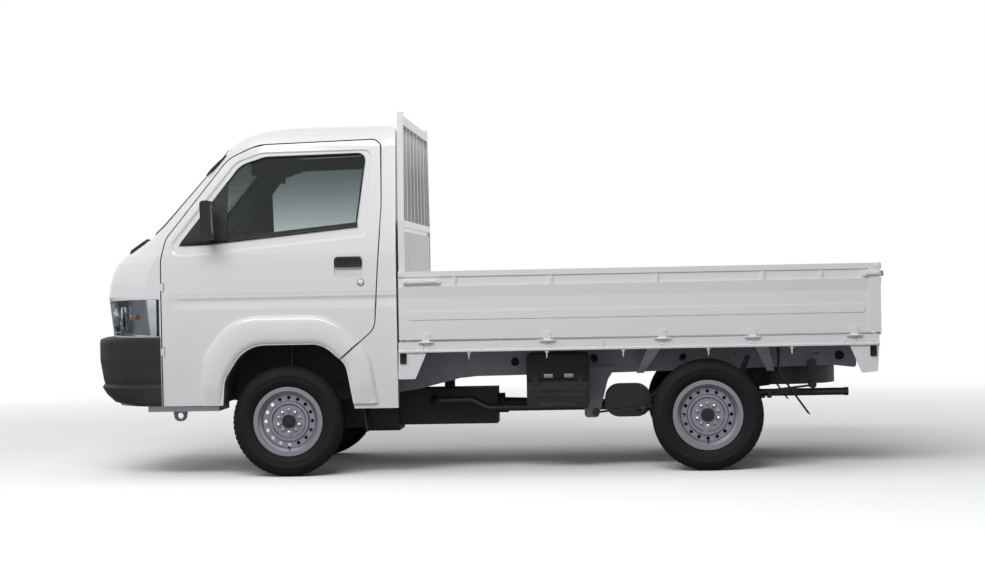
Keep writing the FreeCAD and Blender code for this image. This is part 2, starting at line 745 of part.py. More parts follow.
def aerial():
    """Short aerial foot on the left windscreen pillar, its stub on top."""
    foot_outline = [(-723.0, 1600.0, 8.0), (-708.0, 1678.0), (-688.0, 1678.0), (-705.0, 1600.0, 8.0)]
    stub_outline = [(-706.0, 1670.0), (-701.0, 1708.0, 5.0), (-689.0, 1708.0, 5.0), (-692.0, 1670.0)]
    foot = front_prism(foot_outline, -1550.0, -1250.0)
    stub = front_prism(stub_outline, -1550.0, -1250.0)
    return fused([glass_band(foot, -28.0, -SEAT), glass_band(stub, -15.0, -SEAT)])


def wipers():
    return Part.makeCompound([wiper(-503.0, 0.0), wiper(60.0, -38.0), aerial()])


# Wheels

def tyre(x, y, outward):
    half = TYRE_W / 2
    bead = BEAD_W / 2 - SEAT
    profile = [
        (BEAD_R, -bead),
        (FLANGE_R + 2, -bead),
        (216.0, -half + 3),
        (240.0, -half),
        (262.0, -half + 4),
        (283.0, -half + 12),
        (TYRE_R, -half + 24),
    ]
    mirror_side = [(r, -s) for r, s in reversed(profile)]
    return turned(profile + mirror_side, V(x, y, TYRE_R), outward)


def rim_profile():
    """Closed half section of barrel, disc and hub: radius, outboard distance."""
    half = BEAD_W / 2
    seat = BEAD_R - SEAT
    inner = seat - RIM_WALL
    well = 146.0
    vent_in = VENT_PITCH_R - VENT_R - 4
    vent_out = VENT_PITCH_R + VENT_R + 4
    ring = (vent_in - 18, vent_in - 6)
    bore = STUB_R + STUB_GAP
    return [
        (seat, -half),
        (FLANGE_R, -half),
        (FLANGE_R, -half - FLANGE_T),
        (inner, -half - FLANGE_T),
        (inner, -half + 22),
        (well - RIM_WALL, -half + 34),
        (well - RIM_WALL, DISC_S - 8),
        (vent_out, DISC_S - RIM_WALL - 6),
        (vent_in, DISC_S - RIM_WALL - 6),
        (ring[1], DISC_S - 2),
        (ring[0], DISC_S - 2),
        (ring[0] - 8, DISC_S - 10),
        (DRUM_R - 40, DISC_S - 10),
        (DRUM_R - 40, DISC_S - 14),
        (DRUM_R, DISC_S - 14),
        (DRUM_R, DISC_S - 60),
        (bore, DISC_S - 60),
        (bore, DISC_S + 8),
        (CAP_R, DISC_S + 8),
        (CAP_R + 3, DISC_S - 4),
        (ring[0] - 8, DISC_S - 4),
        (ring[0], DISC_S + 6),
        (ring[1], DISC_S + 6),
        (vent_in, DISC_S - 6),
        (vent_out, DISC_S - 6),
        (well, DISC_S + 6),
        (inner, half - 14),
        (inner, half + FLANGE_T),
        (FLANGE_R, half + FLANGE_T),
        (FLANGE_R, half),
        (seat, half),
        (seat, half - 16),
        (well + RIM_WALL, DISC_S + 8),
        (well, DISC_S - 4),
        (well, -half + 34),
        (seat, -half + 20),
    ]


def ring_of(count, radius, x, y, z, bore, length):
    holes = []
    for i in range(count):
        angle = 2 * math.pi * i / count
        hole_x = x + radius * math.cos(angle)
        hole_z = z + radius * math.sin(angle)
        holes.append(rod((hole_x, y - length / 2, hole_z), (hole_x, y + length / 2, hole_z), bore))
    return holes


def rim(x, y, outward):
    body = turned(rim_profile(), V(x, y, TYRE_R), outward)
    vents = ring_of(VENT_COUNT, VENT_PITCH_R, x, y + outward * (DISC_S - 6), TYRE_R, VENT_R, 24.0)
    cap = rod((x, y + outward * (DISC_S + 4), TYRE_R), (x, y + outward * (DISC_S + 22), TYRE_R), CAP_R - 6)
    return fused([body.cut(vents), cap])


def make_wheels(parts):
    corners = [
        ("front_left", FRONT_AXLE_X, -1),
        ("front_right", FRONT_AXLE_X, 1),
        ("rear_left", REAR_AXLE_X, -1),
        ("rear_right", REAR_AXLE_X, 1),
    ]
    for name, x, outward in corners:
        parts["tyre_" + name] = tyre(x, outward * WHEEL_Y, outward)
        parts["rim_" + name] = rim(x, outward * WHEEL_Y, outward)


# Chassis

def rail_outline():
    return [
        (RAIL_FRONT_X, RAIL_LOW_BOTTOM, 12.0),
        (RAIL_FRONT_X, RAIL_LOW_TOP, 12.0),
        (RAIL_RISE_X, RAIL_LOW_TOP, 80.0),
        (-455.0, RAIL_TOP, 40.0),
        (RAIL_REAR_X, RAIL_TOP),
        (RAIL_REAR_X, 512.0, 16.0),
        (RAIL_REAR_X - 119, 527.0),
        (REAR_AXLE_X - 482, 506.0),
        (-109.0, 498.0, 200.0),
        (-359.0, 436.0, 120.0),
        (RAIL_RISE_X, RAIL_LOW_BOTTOM, 80.0),
    ]


def frame_rails():
    rail = side_prism(rail_outline(), -RAIL_Y[1], -RAIL_Y[0])
    holes = []
    for x in (158.0, SPRING_FRONT[0] - 3, REAR_AXLE_X - 115, RAIL_REAR_X - 84):
        holes.append(rod((x, -RAIL_Y[1] - 5, 578.0), (x, -RAIL_Y[1] + 25, 578.0), 20.0))
    x, z = SPRING_FRONT
    hanger = side_prism(
        [
            (x - 70, z + 240),
            (x - 62, z - 32, 20.0),
            (x + 12, z - 32, 20.0),
            (x + 66, z + 171, 60.0),
            (x + 110, z + 240),
        ],
        -SPRING_Y[0] + SEAT, -RAIL_Y[1] + 1,
    )
    rail = fused([rail.cut(holes), hanger])
    return Part.makeCompound(sides(rail))


def frame_crossmembers():
    pieces = []
    inner = RAIL_Y[0] - SEAT
    for x in CROSS_X:
        low = RAIL_LOW_BOTTOM + 6 if x < RAIL_RISE_X else MEMBER_Z[0]
        high = RAIL_LOW_TOP - 8 if x < RAIL_RISE_X else MEMBER_Z[1]
        pieces.append(box((x - CROSS_W / 2, x + CROSS_W / 2), (-inner, inner), (low, high)))
    return Part.makeCompound(pieces)


def tow_eye():
    """Round towing eye hanging from the step on the left."""
    x, z = TOW_EYE
    wide = TOW_EYE_R + TOW_EYE_WALL
    outline = [
        (x - wide - 10, STEP_BOTTOM - SEAT),
        (x - wide, z - wide, wide - 2),
        (x + wide, z - wide, wide - 2),
        (x + wide + 10, STEP_BOTTOM - SEAT),
    ]
    plate = side_prism(outline, -TOW_EYE_Y - TOW_EYE_T / 2, -TOW_EYE_Y + TOW_EYE_T / 2)
    bore = rod((x, -TOW_EYE_Y - TOW_EYE_T, z), (x, -TOW_EYE_Y + TOW_EYE_T, z), TOW_EYE_R)
    return plate.cut(bore)


def engine():
    inner = RAIL_Y[0] - SEAT
    block = box((-830.0, -500.0), (-190.0, 190.0), (215.0, 690.0))
    sump = box((-700.0, -501.0), (-150.0, 150.0), (193.0, 216.0))
    gearbox = box((-501.0, 40.0), (-GEARBOX_HALF, GEARBOX_HALF), GEARBOX_Z)
    tail = rod((39.0, 0.0, 330.0), (78.0, 0.0, 330.0), 55.0)
    mount = box((-640.0, -580.0), (-inner, inner), (405.0, 445.0))
    saddle_x = (CROSS_X[1] - CROSS_W / 2, CROSS_X[1] + CROSS_W / 2)
    saddle = box(saddle_x, (-60.0, 60.0), (GEARBOX_Z[1] - 1, MEMBER_Z[0] - SEAT))
    return fused([block, sump, gearbox, tail, mount, saddle])


def exhaust():
    pipe = tube(
        [
            (PIPE_X[0], -GEARBOX_HALF - SEAT, 364.0),
            (PIPE_X[0], -300.0, 364.0),
            (PIPE_X[1], -300.0, 364.0),
            (PIPE_X[2], -300.0, 320.0),
            (MUFFLER_X[0] + 24, -300.0, 320.0),
        ],
        20.0, 45.0,
    )
    x0, x1 = MUFFLER_X
    outline = [(x0, 263.0, 80.0), (x0, 432.0, 80.0), (x1, 432.0, 80.0), (x1, 263.0, 80.0)]
    muffler = side_prism(outline, -362.0, -80.0)
    tail = tube(
        [
            (MUFFLER_X[1] - 29, -330.0, 350.0),
            (MUFFLER_X[1] + 71, -330.0, 420.0),
            (REAR_AXLE_X + 125, -330.0, 420.0),
            (REAR_AXLE_X + 305, -330.0, 380.0),
            (RAIL_REAR_X - 34, -330.0, 380.0),
        ],
        20.0, 60.0,
    )
    return fused([pipe, muffler, tail])


def rear_axle():
    centre = (REAR_AXLE_X, TYRE_R)
    tube_half = WHEEL_Y - 45.0
    shaft = rod((centre[0], -tube_half, centre[1]), (centre[0], tube_half, centre[1]), AXLE_TUBE_R)
    stub_end = WHEEL_Y + DISC_S
    stub = rod((centre[0], -stub_end, centre[1]), (centre[0], stub_end, centre[1]), STUB_R)
    case = Part.makeSphere(108.0, V(centre[0], 0, centre[1]))
    nose = rod((centre[0] - 190, 0, centre[1] + 8), (centre[0], 0, centre[1]), 52.0)
    prop = rod((80.0, 0, 330.0), (centre[0] - 188, 0, centre[1] + 8), 30.0)
    return fused([shaft, stub, case, nose, prop])


def leaf_springs():
    """Leaves over the axle, from the hanger to the shackle."""
    leaves = []
    for i in range(LEAF_COUNT):
        leaves.append(leaf(SPRING_FRONT[0] + 110 * i, SPRING_REAR[0] - 100 * i, i))
    eyes = []
    for x, z in (SPRING_FRONT, SPRING_REAR):
        eyes.append(rod((x, -SPRING_Y[1], z), (x, -SPRING_Y[0], z), SPRING_EYE_R))
    x, z = SPRING_REAR
    shackle = side_prism(
        [(x - 20, z - 20, 15.0), (x - 20, z + 130), (x + 20, z + 130), (x + 20, z - 20, 15.0)],
        -SPRING_Y[0] - 6, -RAIL_Y[1] - SEAT,
    )
    axle_top = TYRE_R + AXLE_TUBE_R + SEAT
    clamp_x = (REAR_AXLE_X - 45, REAR_AXLE_X + 45)
    clamp = box(clamp_x, (-SPRING_Y[1], -SPRING_Y[0]), (axle_top, axle_top + 12))
    return Part.makeCompound(sides(fused(leaves + eyes + [shackle, clamp])))


def spring_height(x):
    """Height of the spring's top, on the straight line between its eyes."""
    share = (x - SPRING_FRONT[0]) / (SPRING_REAR[0] - SPRING_FRONT[0])
    return SPRING_FRONT[1] + (SPRING_REAR[1] - SPRING_FRONT[1]) * share


def leaf(front, rear, number):
    top = -LEAF_T * number
    outline = []
    for x, drop in ((front, 0.5), (rear, 0.5), (rear, -LEAF_T), (front, -LEAF_T)):
        outline.append((x, spring_height(x) + top + drop))
    return side_prism(outline, -SPRING_Y[1], -SPRING_Y[0])


def front_suspension():
    beam_x = (FRONT_AXLE_X - 60, FRONT_AXLE_X + 60)
    beam = box(beam_x, (-RAIL_Y[1], RAIL_Y[1]), (320.0, RAIL_LOW_BOTTOM - SEAT))
    foot = box(beam_x, (-390.0, -320.0), (176.0, 321.0))
    arm = plan_prism(
        [
            (FRONT_AXLE_X - 100, -330.0),
            (FRONT_AXLE_X - 20, -BALL_Y - 10, 16.0),
            (FRONT_AXLE_X + 20, -BALL_Y - 10, 16.0),
            (FRONT_AXLE_X + 100, -330.0),
        ],
        BALL_Z - SOCKET_R / 2, BALL_Z + 2,
    )
    ball, axis = kingpin()
    socket = Part.makeCylinder(SOCKET_R, SOCKET_R, ball - V(0, 0, SOCKET_R - 6), V(0, 0, 1))
    arm = arm.fuse(socket)
    stud_room = Part.makeCylinder(STUD_PIN_R + 2, 40.0, ball, axis)
    arm = arm.cut([Part.makeSphere(BALL_R + SEAT, ball), stud_room])
    return fused([beam] + sides(foot) + sides(arm))


def kingpin():
    """Lower ball joint and the steering axis from it up to the strut's top, on the left."""
    ball = V(FRONT_AXLE_X, -BALL_Y, BALL_Z)
    top = V(FRONT_AXLE_X, -STRUT_TOP_Y, STRUT_TOP_Z)
    return ball, (top - ball).normalize()


def knuckle():
    """Left upright with its ball stud, stub axle and strut."""
    ball, axis = kingpin()
    length = (V(FRONT_AXLE_X, -STRUT_TOP_Y, STRUT_TOP_Z) - ball).Length
    foot = BALL_Z + SOCKET_R / 2
    upright = side_prism(
        [
            (FRONT_AXLE_X - 30, foot, 10.0),
            (FRONT_AXLE_X - 45, TYRE_R + 10, 30.0),
            (FRONT_AXLE_X - 22, TYRE_R + 90, 10.0),
            (FRONT_AXLE_X + 22, TYRE_R + 90, 10.0),
            (FRONT_AXLE_X + 45, TYRE_R + 10, 30.0),
            (FRONT_AXLE_X + 30, foot, 10.0),
        ],
        -BALL_Y - 22, -BALL_Y + 22,
    )
    stub = rod((FRONT_AXLE_X, -BALL_Y, TYRE_R), (FRONT_AXLE_X, -WHEEL_Y - DISC_S, TYRE_R), STUB_R)
    strut = Part.makeCylinder(STRUT_R, length * 0.42, ball + axis * (length * 0.28), axis)
    piston = Part.makeCylinder(PISTON_R, length * 0.7, ball + axis * (length * 0.3), axis)
    pin = Part.makeCylinder(STUD_PIN_R, foot - BALL_Z + 10, ball, axis)
    return fused([Part.makeSphere(BALL_R, ball), pin, upright, stub, strut, piston])


def battery_box():
    """Box with a lid, its split line, two vents and a rib along the lower half."""
    x0, x1 = BATTERY_X
    near, far = BATTERY_Y
    body = side_prism(
        [(x0, 332.0, 25.0), (x0, 622.0, 20.0), (x1, 622.0, 20.0), (x1, 332.0, 25.0)],
        -far, -near,
    )
    cuts = [box((x0 - 5, x1 + 5), (-far - 5, -far + 7), (BATTERY_LID_Z - 4, BATTERY_LID_Z + 4))]
    width = x1 - x0
    for share in (0.27, 0.61):
        x = x0 + width * share
        cuts.append(box((x, x + width * 0.14), (-far - 5, -far + 14), (491.0, 517.0)))
    ribs = [box((x0 + 20, x1 - 20), (-far - 7, -far + 1), (392.0, 430.0))]
    for x in (x0 + 30, x1 - 62):
        ribs.append(box((x, x + 32), (-far - 9, -far + 1), (455.0, 505.0)))
    arms = []
    for share in (0.13, 0.74):
        x = x0 + width * share
        arms.append(box((x, x + 40), (-near - 1, -RAIL_Y[1] - SEAT), (540.0, 600.0)))
    return fused([body.cut(cuts)] + ribs + arms)


def fuel_tank():
    x0, x1 = TANK_X
    body = side_prism(
        [(x0, 300.0, 40.0), (x0, 520.0, 40.0), (x1, 520.0, 40.0), (x1, 300.0, 40.0)],
        500.0, 760.0,
    )
    arms = []
    for x in (x0 + 50, x1 - 90):
        arms.append(box((x, x + 40), (RAIL_Y[1] + SEAT, 501.0), (505.0, 515.0)))
    return fused([body] + arms)


def mudguards():
    guard = side_prism(
        [(-664.0, 560.0), (-612.0, 232.0), (-606.0, 232.0), (-658.0, 560.0)],
        -CAB_HALF + WALL, -500.0,
    )
    flap = side_prism(
        [
            (FLAP_X, DECK_UNDER - SEAT),
            (FLAP_X, 505.0),
            (FLAP_X + 153, 286.0),
            (FLAP_X + 158, 288.0),
            (FLAP_X + 5, 508.0),
            (FLAP_X + 5, DECK_UNDER - SEAT),
        ],
        -800.0, -640.0,
    )
    return Part.makeCompound(sides(guard) + sides(flap))


def spare_wheel():
    centre_x = SPARE_X
    height = 503.0
    body = Part.makeCylinder(TYRE_R, TYRE_W, V(centre_x, 0, height - TYRE_W / 2))
    well = Part.makeCylinder(FLANGE_R, 60.0, V(centre_x, 0, height - TYRE_W / 2 - 1))
    upper = Part.makeCylinder(FLANGE_R, 60.0, V(centre_x, 0, height + TYRE_W / 2 - 59))
    post = Part.makeCylinder(20.0, RAIL_TOP - height + 20, V(centre_x, 0, height - 20))
    return fused([body.cut([well, upper]), post])


# Load bed

def deck():
    x0, x1 = DECK_X
    pieces = [box((x0, x1), (-DECK_HALF, DECK_HALF), (DECK_UNDER, DECK_SLAB_TOP))]
    pitch = 2 * (DECK_HALF - 40) / FLOOR_RIB_COUNT
    for i in range(FLOOR_RIB_COUNT):
        y = -DECK_HALF + 40 + pitch * (i + 0.5)
        rib_y = (y - FLOOR_RIB_W / 2, y + FLOOR_RIB_W / 2)
        pieces.append(box((x0 + 60, x1 - 20), rib_y, (DECK_SLAB_TOP - 1, DECK_TOP)))
    under = DECK_UNDER + 1
    for x in BEARER_X:
        bearer_x = (x - BEARER_W / 2, x + BEARER_W / 2)
        pieces.append(box(bearer_x, (-DECK_HALF + 2, DECK_HALF - 2), (RAIL_TOP + SEAT, under)))
    rail = box((x0, x1), (-DECK_HALF, -DECK_HALF + DECK_RAIL_T), (DECK_RAIL_BOTTOM, under))
    front_bracket = [(x0, 650.0), (x0 - 4, 507.0, 8.0), (x0 + 86, 507.0, 10.0), (x0 + 149, 650.0)]
    rear_bracket = [(x1 - 155, 650.0), (x1 - 91, 500.0, 10.0), (x1 - 11, 508.0, 10.0), (x1, 650.0)]
    for outline in (front_bracket, rear_bracket):
        pieces += sides(side_prism(outline, -DECK_HALF, -DECK_HALF + DECK_RAIL_T))
    pieces += sides(rail)
    pieces += sides(deck_strut(REAR_AXLE_X - 286, REAR_AXLE_X - 366))
    pieces += sides(deck_strut(REAR_AXLE_X + 228, REAR_AXLE_X + 332))
    for x in HINGE_X:
        pieces += sides(side_hinge_pin(x))
    for y in TAIL_HINGE_Y:
        pieces.append(tail_hinge_pin(y))
    return fused(pieces)


def deck_strut(top_x, foot_x):
    """Flat stay from under the deck's edge down to the outside of the left frame rail."""
    top = (top_x, -DECK_HALF + 90, DECK_UNDER + 1, 82, 8)
    foot = (foot_x, -RAIL_Y[1] - SEAT, RAIL_TOP - 143, 40, 5)
    sections = []
    for x, y, z, width, thick in (top, foot):
        corners = [
            V(x, y, z),
            V(x + width, y, z),
            V(x + width, y - thick, z),
            V(x, y - thick, z),
        ]
        sections.append(Part.makePolygon(corners + corners[:1]))
    return Part.makeLoft(sections, True, True)


def side_hinge_pin(x):
    """Pin and its two lugs on the deck's side rail."""
    half = HINGE_L / 2
    pin = rod((x - half, -HINGE_Y, HINGE_Z), (x + half, -HINGE_Y, HINGE_Z), HINGE_PIN_R)
    pieces = [pin]
    for start in (x - half, x + half - 18):
        lug_z = (HINGE_Z - HINGE_PIN_R, HINGE_Z + HINGE_PIN_R)
        pieces.append(box((start, start + 18), (-HINGE_Y - 2, -DECK_HALF + 2), lug_z))
    return fused(pieces)


def tail_hinge_pin(y):
    half = HINGE_L / 2
    pin = rod((TAIL_HINGE_X, y - half, HINGE_Z), (TAIL_HINGE_X, y + half, HINGE_Z), HINGE_PIN_R)
    pieces = [pin]
    for start in (y - half, y + half - 18):
        lug_z = (HINGE_Z - HINGE_PIN_R, HINGE_Z + HINGE_PIN_R)
        pieces.append(box((DECK_X[1] - 2, TAIL_HINGE_X + 2), (start, start + 18), lug_z))
    return fused(pieces)


def gate_barrel():
    """Barrel and strap of a gate hinge, along X from its middle, at the pin."""
    half = HINGE_L / 2 - 20
    barrel = rod((-half, 0, 0), (half, 0, 0), HINGE_R)
    strap = box((-half, half), (0.0, HINGE_Y - GATE_OUTER + 5), (0.0, GATE_BOTTOM - HINGE_Z + 30))
    bore = rod((-half - 1, 0, 0), (half + 1, 0, 0), HINGE_PIN_R + 0.4)
    return barrel.fuse(strap).cut(bore)


def side_gate():
    outer = -GATE_OUTER
    inner = -GATE_OUTER + GATE_T
    section = [
        (inner, GATE_BOTTOM),
        (outer + 4, GATE_BOTTOM),
        (outer + 4, 930.0),
        (outer, 990.0),
        (outer + 9, 992.0),
        (outer + 9, 1036.0),
        (outer, 1040.0),
        (outer, GATE_TOP),
        (inner, GATE_TOP),
    ]
    panel = front_prism(section, SIDE_GATE_X[0], SIDE_GATE_X[1])
    rib = side_prism(
        [
            (SIDE_GATE_X[0] + 38, 815.0, 20.0),
            (SIDE_GATE_X[0] + 38, 858.0, 20.0),
            (CREASE_X - 12, 858.0, 20.0),
            (CREASE_X - 12, 815.0, 20.0),
        ],
        outer, outer + 6,
    )
    end_post = box((CREASE_X + 4, SIDE_GATE_X[1]), (outer, outer + 6), (GATE_BOTTOM, GATE_TOP))
    pieces = [panel, rib, end_post]
    for x in TAB_X:
        pieces.append(box((x - 8, x + 8), (outer, outer + 12), (988.0, 1038.0)))
    for x, long in ((SIDE_GATE_X[0] + 26, 195.0), (SIDE_GATE_X[1] - 96, 90.0)):
        latch_outline = [
            (x, 1000.0, 8.0),
            (x, 1028.0, 8.0),
            (x + long, 1022.0, 8.0),
            (x + long, 1004.0, 8.0),
        ]
        pieces.append(side_prism(latch_outline, outer - 8, outer + 12))
    for x in HINGE_X:
        hinge = gate_barrel()
        hinge.translate(V(x, -HINGE_Y, HINGE_Z))
        pieces.append(hinge)
    return fused(pieces)


def tailgate():
    x1 = TAILGATE_OUTER
    x0 = x1 - GATE_T
    section = [
        (x0, GATE_BOTTOM),
        (x0, GATE_TOP),
        (x1, GATE_TOP),
        (x1, 1040.0),
        (x1 - 9, 1036.0),
        (x1 - 9, 992.0),
        (x1, 990.0),
        (x1 - 4, 930.0),
        (x1 - 4, GATE_BOTTOM),
    ]
    panel = side_prism(section, -TAILGATE_HALF, TAILGATE_HALF)
    pieces = [panel]
    for y in TAIL_HINGE_Y:
        half = HINGE_L / 2 - 20
        barrel = rod((TAIL_HINGE_X, y - half, HINGE_Z), (TAIL_HINGE_X, y + half, HINGE_Z), HINGE_R)
        strap = box((x1 - 5, TAIL_HINGE_X + 4), (y - half, y + half), (HINGE_Z, GATE_BOTTOM + 30))
        bore_start = (TAIL_HINGE_X, y - half - 1, HINGE_Z)
        bore = rod(bore_start, (TAIL_HINGE_X, y + half + 1, HINGE_Z), HINGE_PIN_R + 0.4)
        pieces.append(barrel.fuse(strap).cut(bore))
    return fused(pieces)


def headboard():
    x0, x1 = BOARD_X
    foot = DECK_SLAB_TOP + SEAT
    sheet = box((x0 + 8, x1 - 8), (-BOARD_HALF + 20, BOARD_HALF - 20), (foot, BOARD_MID_Z - 10))
    mid = box((x0, x1), (-BOARD_HALF, BOARD_HALF), (BOARD_MID_Z - 18, BOARD_MID_Z + 18))
    beam = box((x0, x1), (-BOARD_TOP_HALF, BOARD_TOP_HALF), (BOARD_TOP_Z - 24, BOARD_TOP_Z + 24))
    post = front_prism(
        [
            (-BOARD_HALF, foot),
            (-BOARD_HALF, BOARD_MID_Z),
            (-BOARD_TOP_HALF - 20, POST_TOP_Z),
            (-BOARD_TOP_HALF + 12, POST_TOP_Z),
            (-BOARD_HALF + 36, BOARD_MID_Z),
            (-BOARD_HALF + 36, foot),
        ],
        x0, x1,
    )
    bars = []
    for i in range(BOARD_BAR_COUNT):
        y = (i - (BOARD_BAR_COUNT - 1) / 2) * BOARD_TOP_HALF * 0.28
        bars.append(box((x0 + 5, x1 - 5), (y - 10, y + 10), (BOARD_MID_Z, BOARD_TOP_Z)))
    pitch = 2 * (BOARD_HALF - 60) / SHEET_RIB_COUNT
    for i in range(SHEET_RIB_COUNT):
        y = (i - (SHEET_RIB_COUNT - 1) / 2) * pitch
        outline = [
            (x1 - 9, y - pitch * 0.36),
            (x1 - 2, y - pitch * 0.2),
            (x1 - 2, y + pitch * 0.2),
            (x1 - 9, y + pitch * 0.36),
        ]
        bars.append(plan_prism(outline, DECK_TOP + 40, BOARD_MID_Z - 40))
    return fused([sheet, mid, beam] + sides(post) + bars)


def tail_lamps():
    front_x = BEARER_X[-1] + BEARER_W / 2 + SEAT
    lamp = box((front_x, DECK_X[1] + 2), (-790.0, -560.0), (560.0, 640.0))
    hanger = box((front_x, front_x + 4), (-790.0, -560.0), (630.0, DECK_UNDER - SEAT))
    return Part.makeCompound(sides(lamp.fuse(hanger)))


def door_fittings():
    """Mirror on its arm, and the door handle, on the left door."""
    mirror = side_prism(
        [(-1434.0, 1253.0, 16.0), (-1440.0, 1457.0, 20.0), (-1383.0, 1457.0, 20.0), (-1378.0, 1253.0, 16.0)],
        -1000.0, -870.0,
    )
    sail = glass_band(window_prism(0).common(box(SAIL_X, (-BEYOND_Y, 0), (1100, 1700))), -3.0, 7.0)
    arm = rod((-1410.0, -885.0, 1290.0), (-1430.0, -812.0, 1270.0), 13.0)
    arm = fused([arm, sail]).cut(cab_form(7))
    grip = side_prism(
        [(-757.0, 1112.0, 12.0), (-757.0, 1144.0, 12.0), (-623.0, 1144.0, 12.0), (-623.0, 1112.0, 12.0)],
        -CAB_HALF - 4, -CAB_HALF + HANDLE_DEPTH - SEAT,
    )
    return Part.makeCompound([fused([mirror, arm]), grip])


def build():
    parts = {}
    make_cab(parts)
    parts["front_bumper"] = front_bumper()
    parts["cab_floor"] = cab_floor()
    parts["dashboard"] = dashboard()
    parts["steering_wheel"] = steering_wheel()
    parts["seats"] = seats()
    parts["wipers"] = wipers()
    make_wheels(parts)
    parts["frame_rails"] = frame_rails()
    parts["frame_crossmembers"] = frame_crossmembers()
    parts["tow_eye"] = tow_eye()
    parts["engine"] = engine()
    parts["exhaust"] = exhaust()
    parts["rear_axle"] = rear_axle()
    parts["leaf_springs"] = leaf_springs()
    parts["front_suspension"] = front_suspension()
    parts["knuckle_left"] = knuckle()
    parts["knuckle_right"] = mirrored(parts["knuckle_left"])
    parts["battery_box"] = battery_box()
    parts["fuel_tank"] = fuel_tank()
    parts["mudguards"] = mudguards().cut([parts["cab_side_left"], parts["cab_side_right"]])
    parts["spare_wheel"] = spare_wheel()
    parts["deck"] = deck()
    parts["headboard"] = headboard()
    parts["side_gate_left"] = side_gate()
    parts["side_gate_right"] = mirrored(parts["side_gate_left"])
    parts["tailgate"] = tailgate()
    parts["tail_lamps"] = tail_lamps()
    parts["door_fittings_left"] = door_fittings()
    parts["door_fittings_right"] = mirrored(parts["door_fittings_left"])
    return parts


def main():
    os.makedirs("parts", exist_ok=True)
    for name, shape in build().items():
        shape.exportStep("parts/" + name + ".step")
        print(name, shape.isValid(), len(shape.Solids), round(shape.Volume / 1e6, 2))


main()
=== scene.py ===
import math

import bmesh
import bpy
from mathutils import Matrix, Vector
from mathutils.bvhtree import BVHTree


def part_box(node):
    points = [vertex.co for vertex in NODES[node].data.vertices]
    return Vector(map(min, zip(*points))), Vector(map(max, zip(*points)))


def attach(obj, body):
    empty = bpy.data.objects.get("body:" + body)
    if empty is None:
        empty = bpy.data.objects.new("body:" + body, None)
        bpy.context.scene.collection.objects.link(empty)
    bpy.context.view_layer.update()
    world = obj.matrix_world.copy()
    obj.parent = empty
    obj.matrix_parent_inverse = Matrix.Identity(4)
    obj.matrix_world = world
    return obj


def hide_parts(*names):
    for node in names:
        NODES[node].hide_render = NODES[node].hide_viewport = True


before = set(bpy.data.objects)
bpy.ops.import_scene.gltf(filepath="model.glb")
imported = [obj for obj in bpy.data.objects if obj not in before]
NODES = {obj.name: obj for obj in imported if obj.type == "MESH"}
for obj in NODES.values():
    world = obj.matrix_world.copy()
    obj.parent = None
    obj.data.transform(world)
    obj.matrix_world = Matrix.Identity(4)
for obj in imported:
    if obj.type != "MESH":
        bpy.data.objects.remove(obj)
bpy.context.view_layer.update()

bl_info = {
    "name": "Drop-side truck dresser",
    "version": (1, 0, 0),
    "blender": (4, 5, 0),
    "location": "View3D > Sidebar > Truck",
    "description": "Gives the packed cab-over truck its finishes, trim, glass, lamps and studio",
    "category": "Object",
}


# Shader helper

class Wire:
    """A socket in a material, so that shader maths reads as Python."""

    def __init__(self, tree, socket):
        self.tree = tree
        self.socket = socket

    def maths(self, operation, first, second):
        node = self.tree.nodes.new("ShaderNodeMath")
        node.operation = operation
        plug(self.tree, first, node.inputs[0])
        plug(self.tree, second, node.inputs[1])
        return Wire(self.tree, node.outputs[0])

    def __add__(self, other):
        return self.maths("ADD", self, other)

    def __radd__(self, other):
        return self.maths("ADD", other, self)

    def __sub__(self, other):
        return self.maths("SUBTRACT", self, other)

    def __rsub__(self, other):
        return self.maths("SUBTRACT", other, self)

    def __mul__(self, other):
        return self.maths("MULTIPLY", self, other)

    def __rmul__(self, other):
        return self.maths("MULTIPLY", other, self)

    def __gt__(self, other):
        return self.maths("GREATER_THAN", self, other)

    def __lt__(self, other):
        return self.maths("LESS_THAN", self, other)


def plug(tree, value, socket):
    """Links a wire to a socket, or writes a plain value on it."""
    if isinstance(value, Wire):
        tree.links.new(value.socket, socket)
    else:
        socket.default_value = value


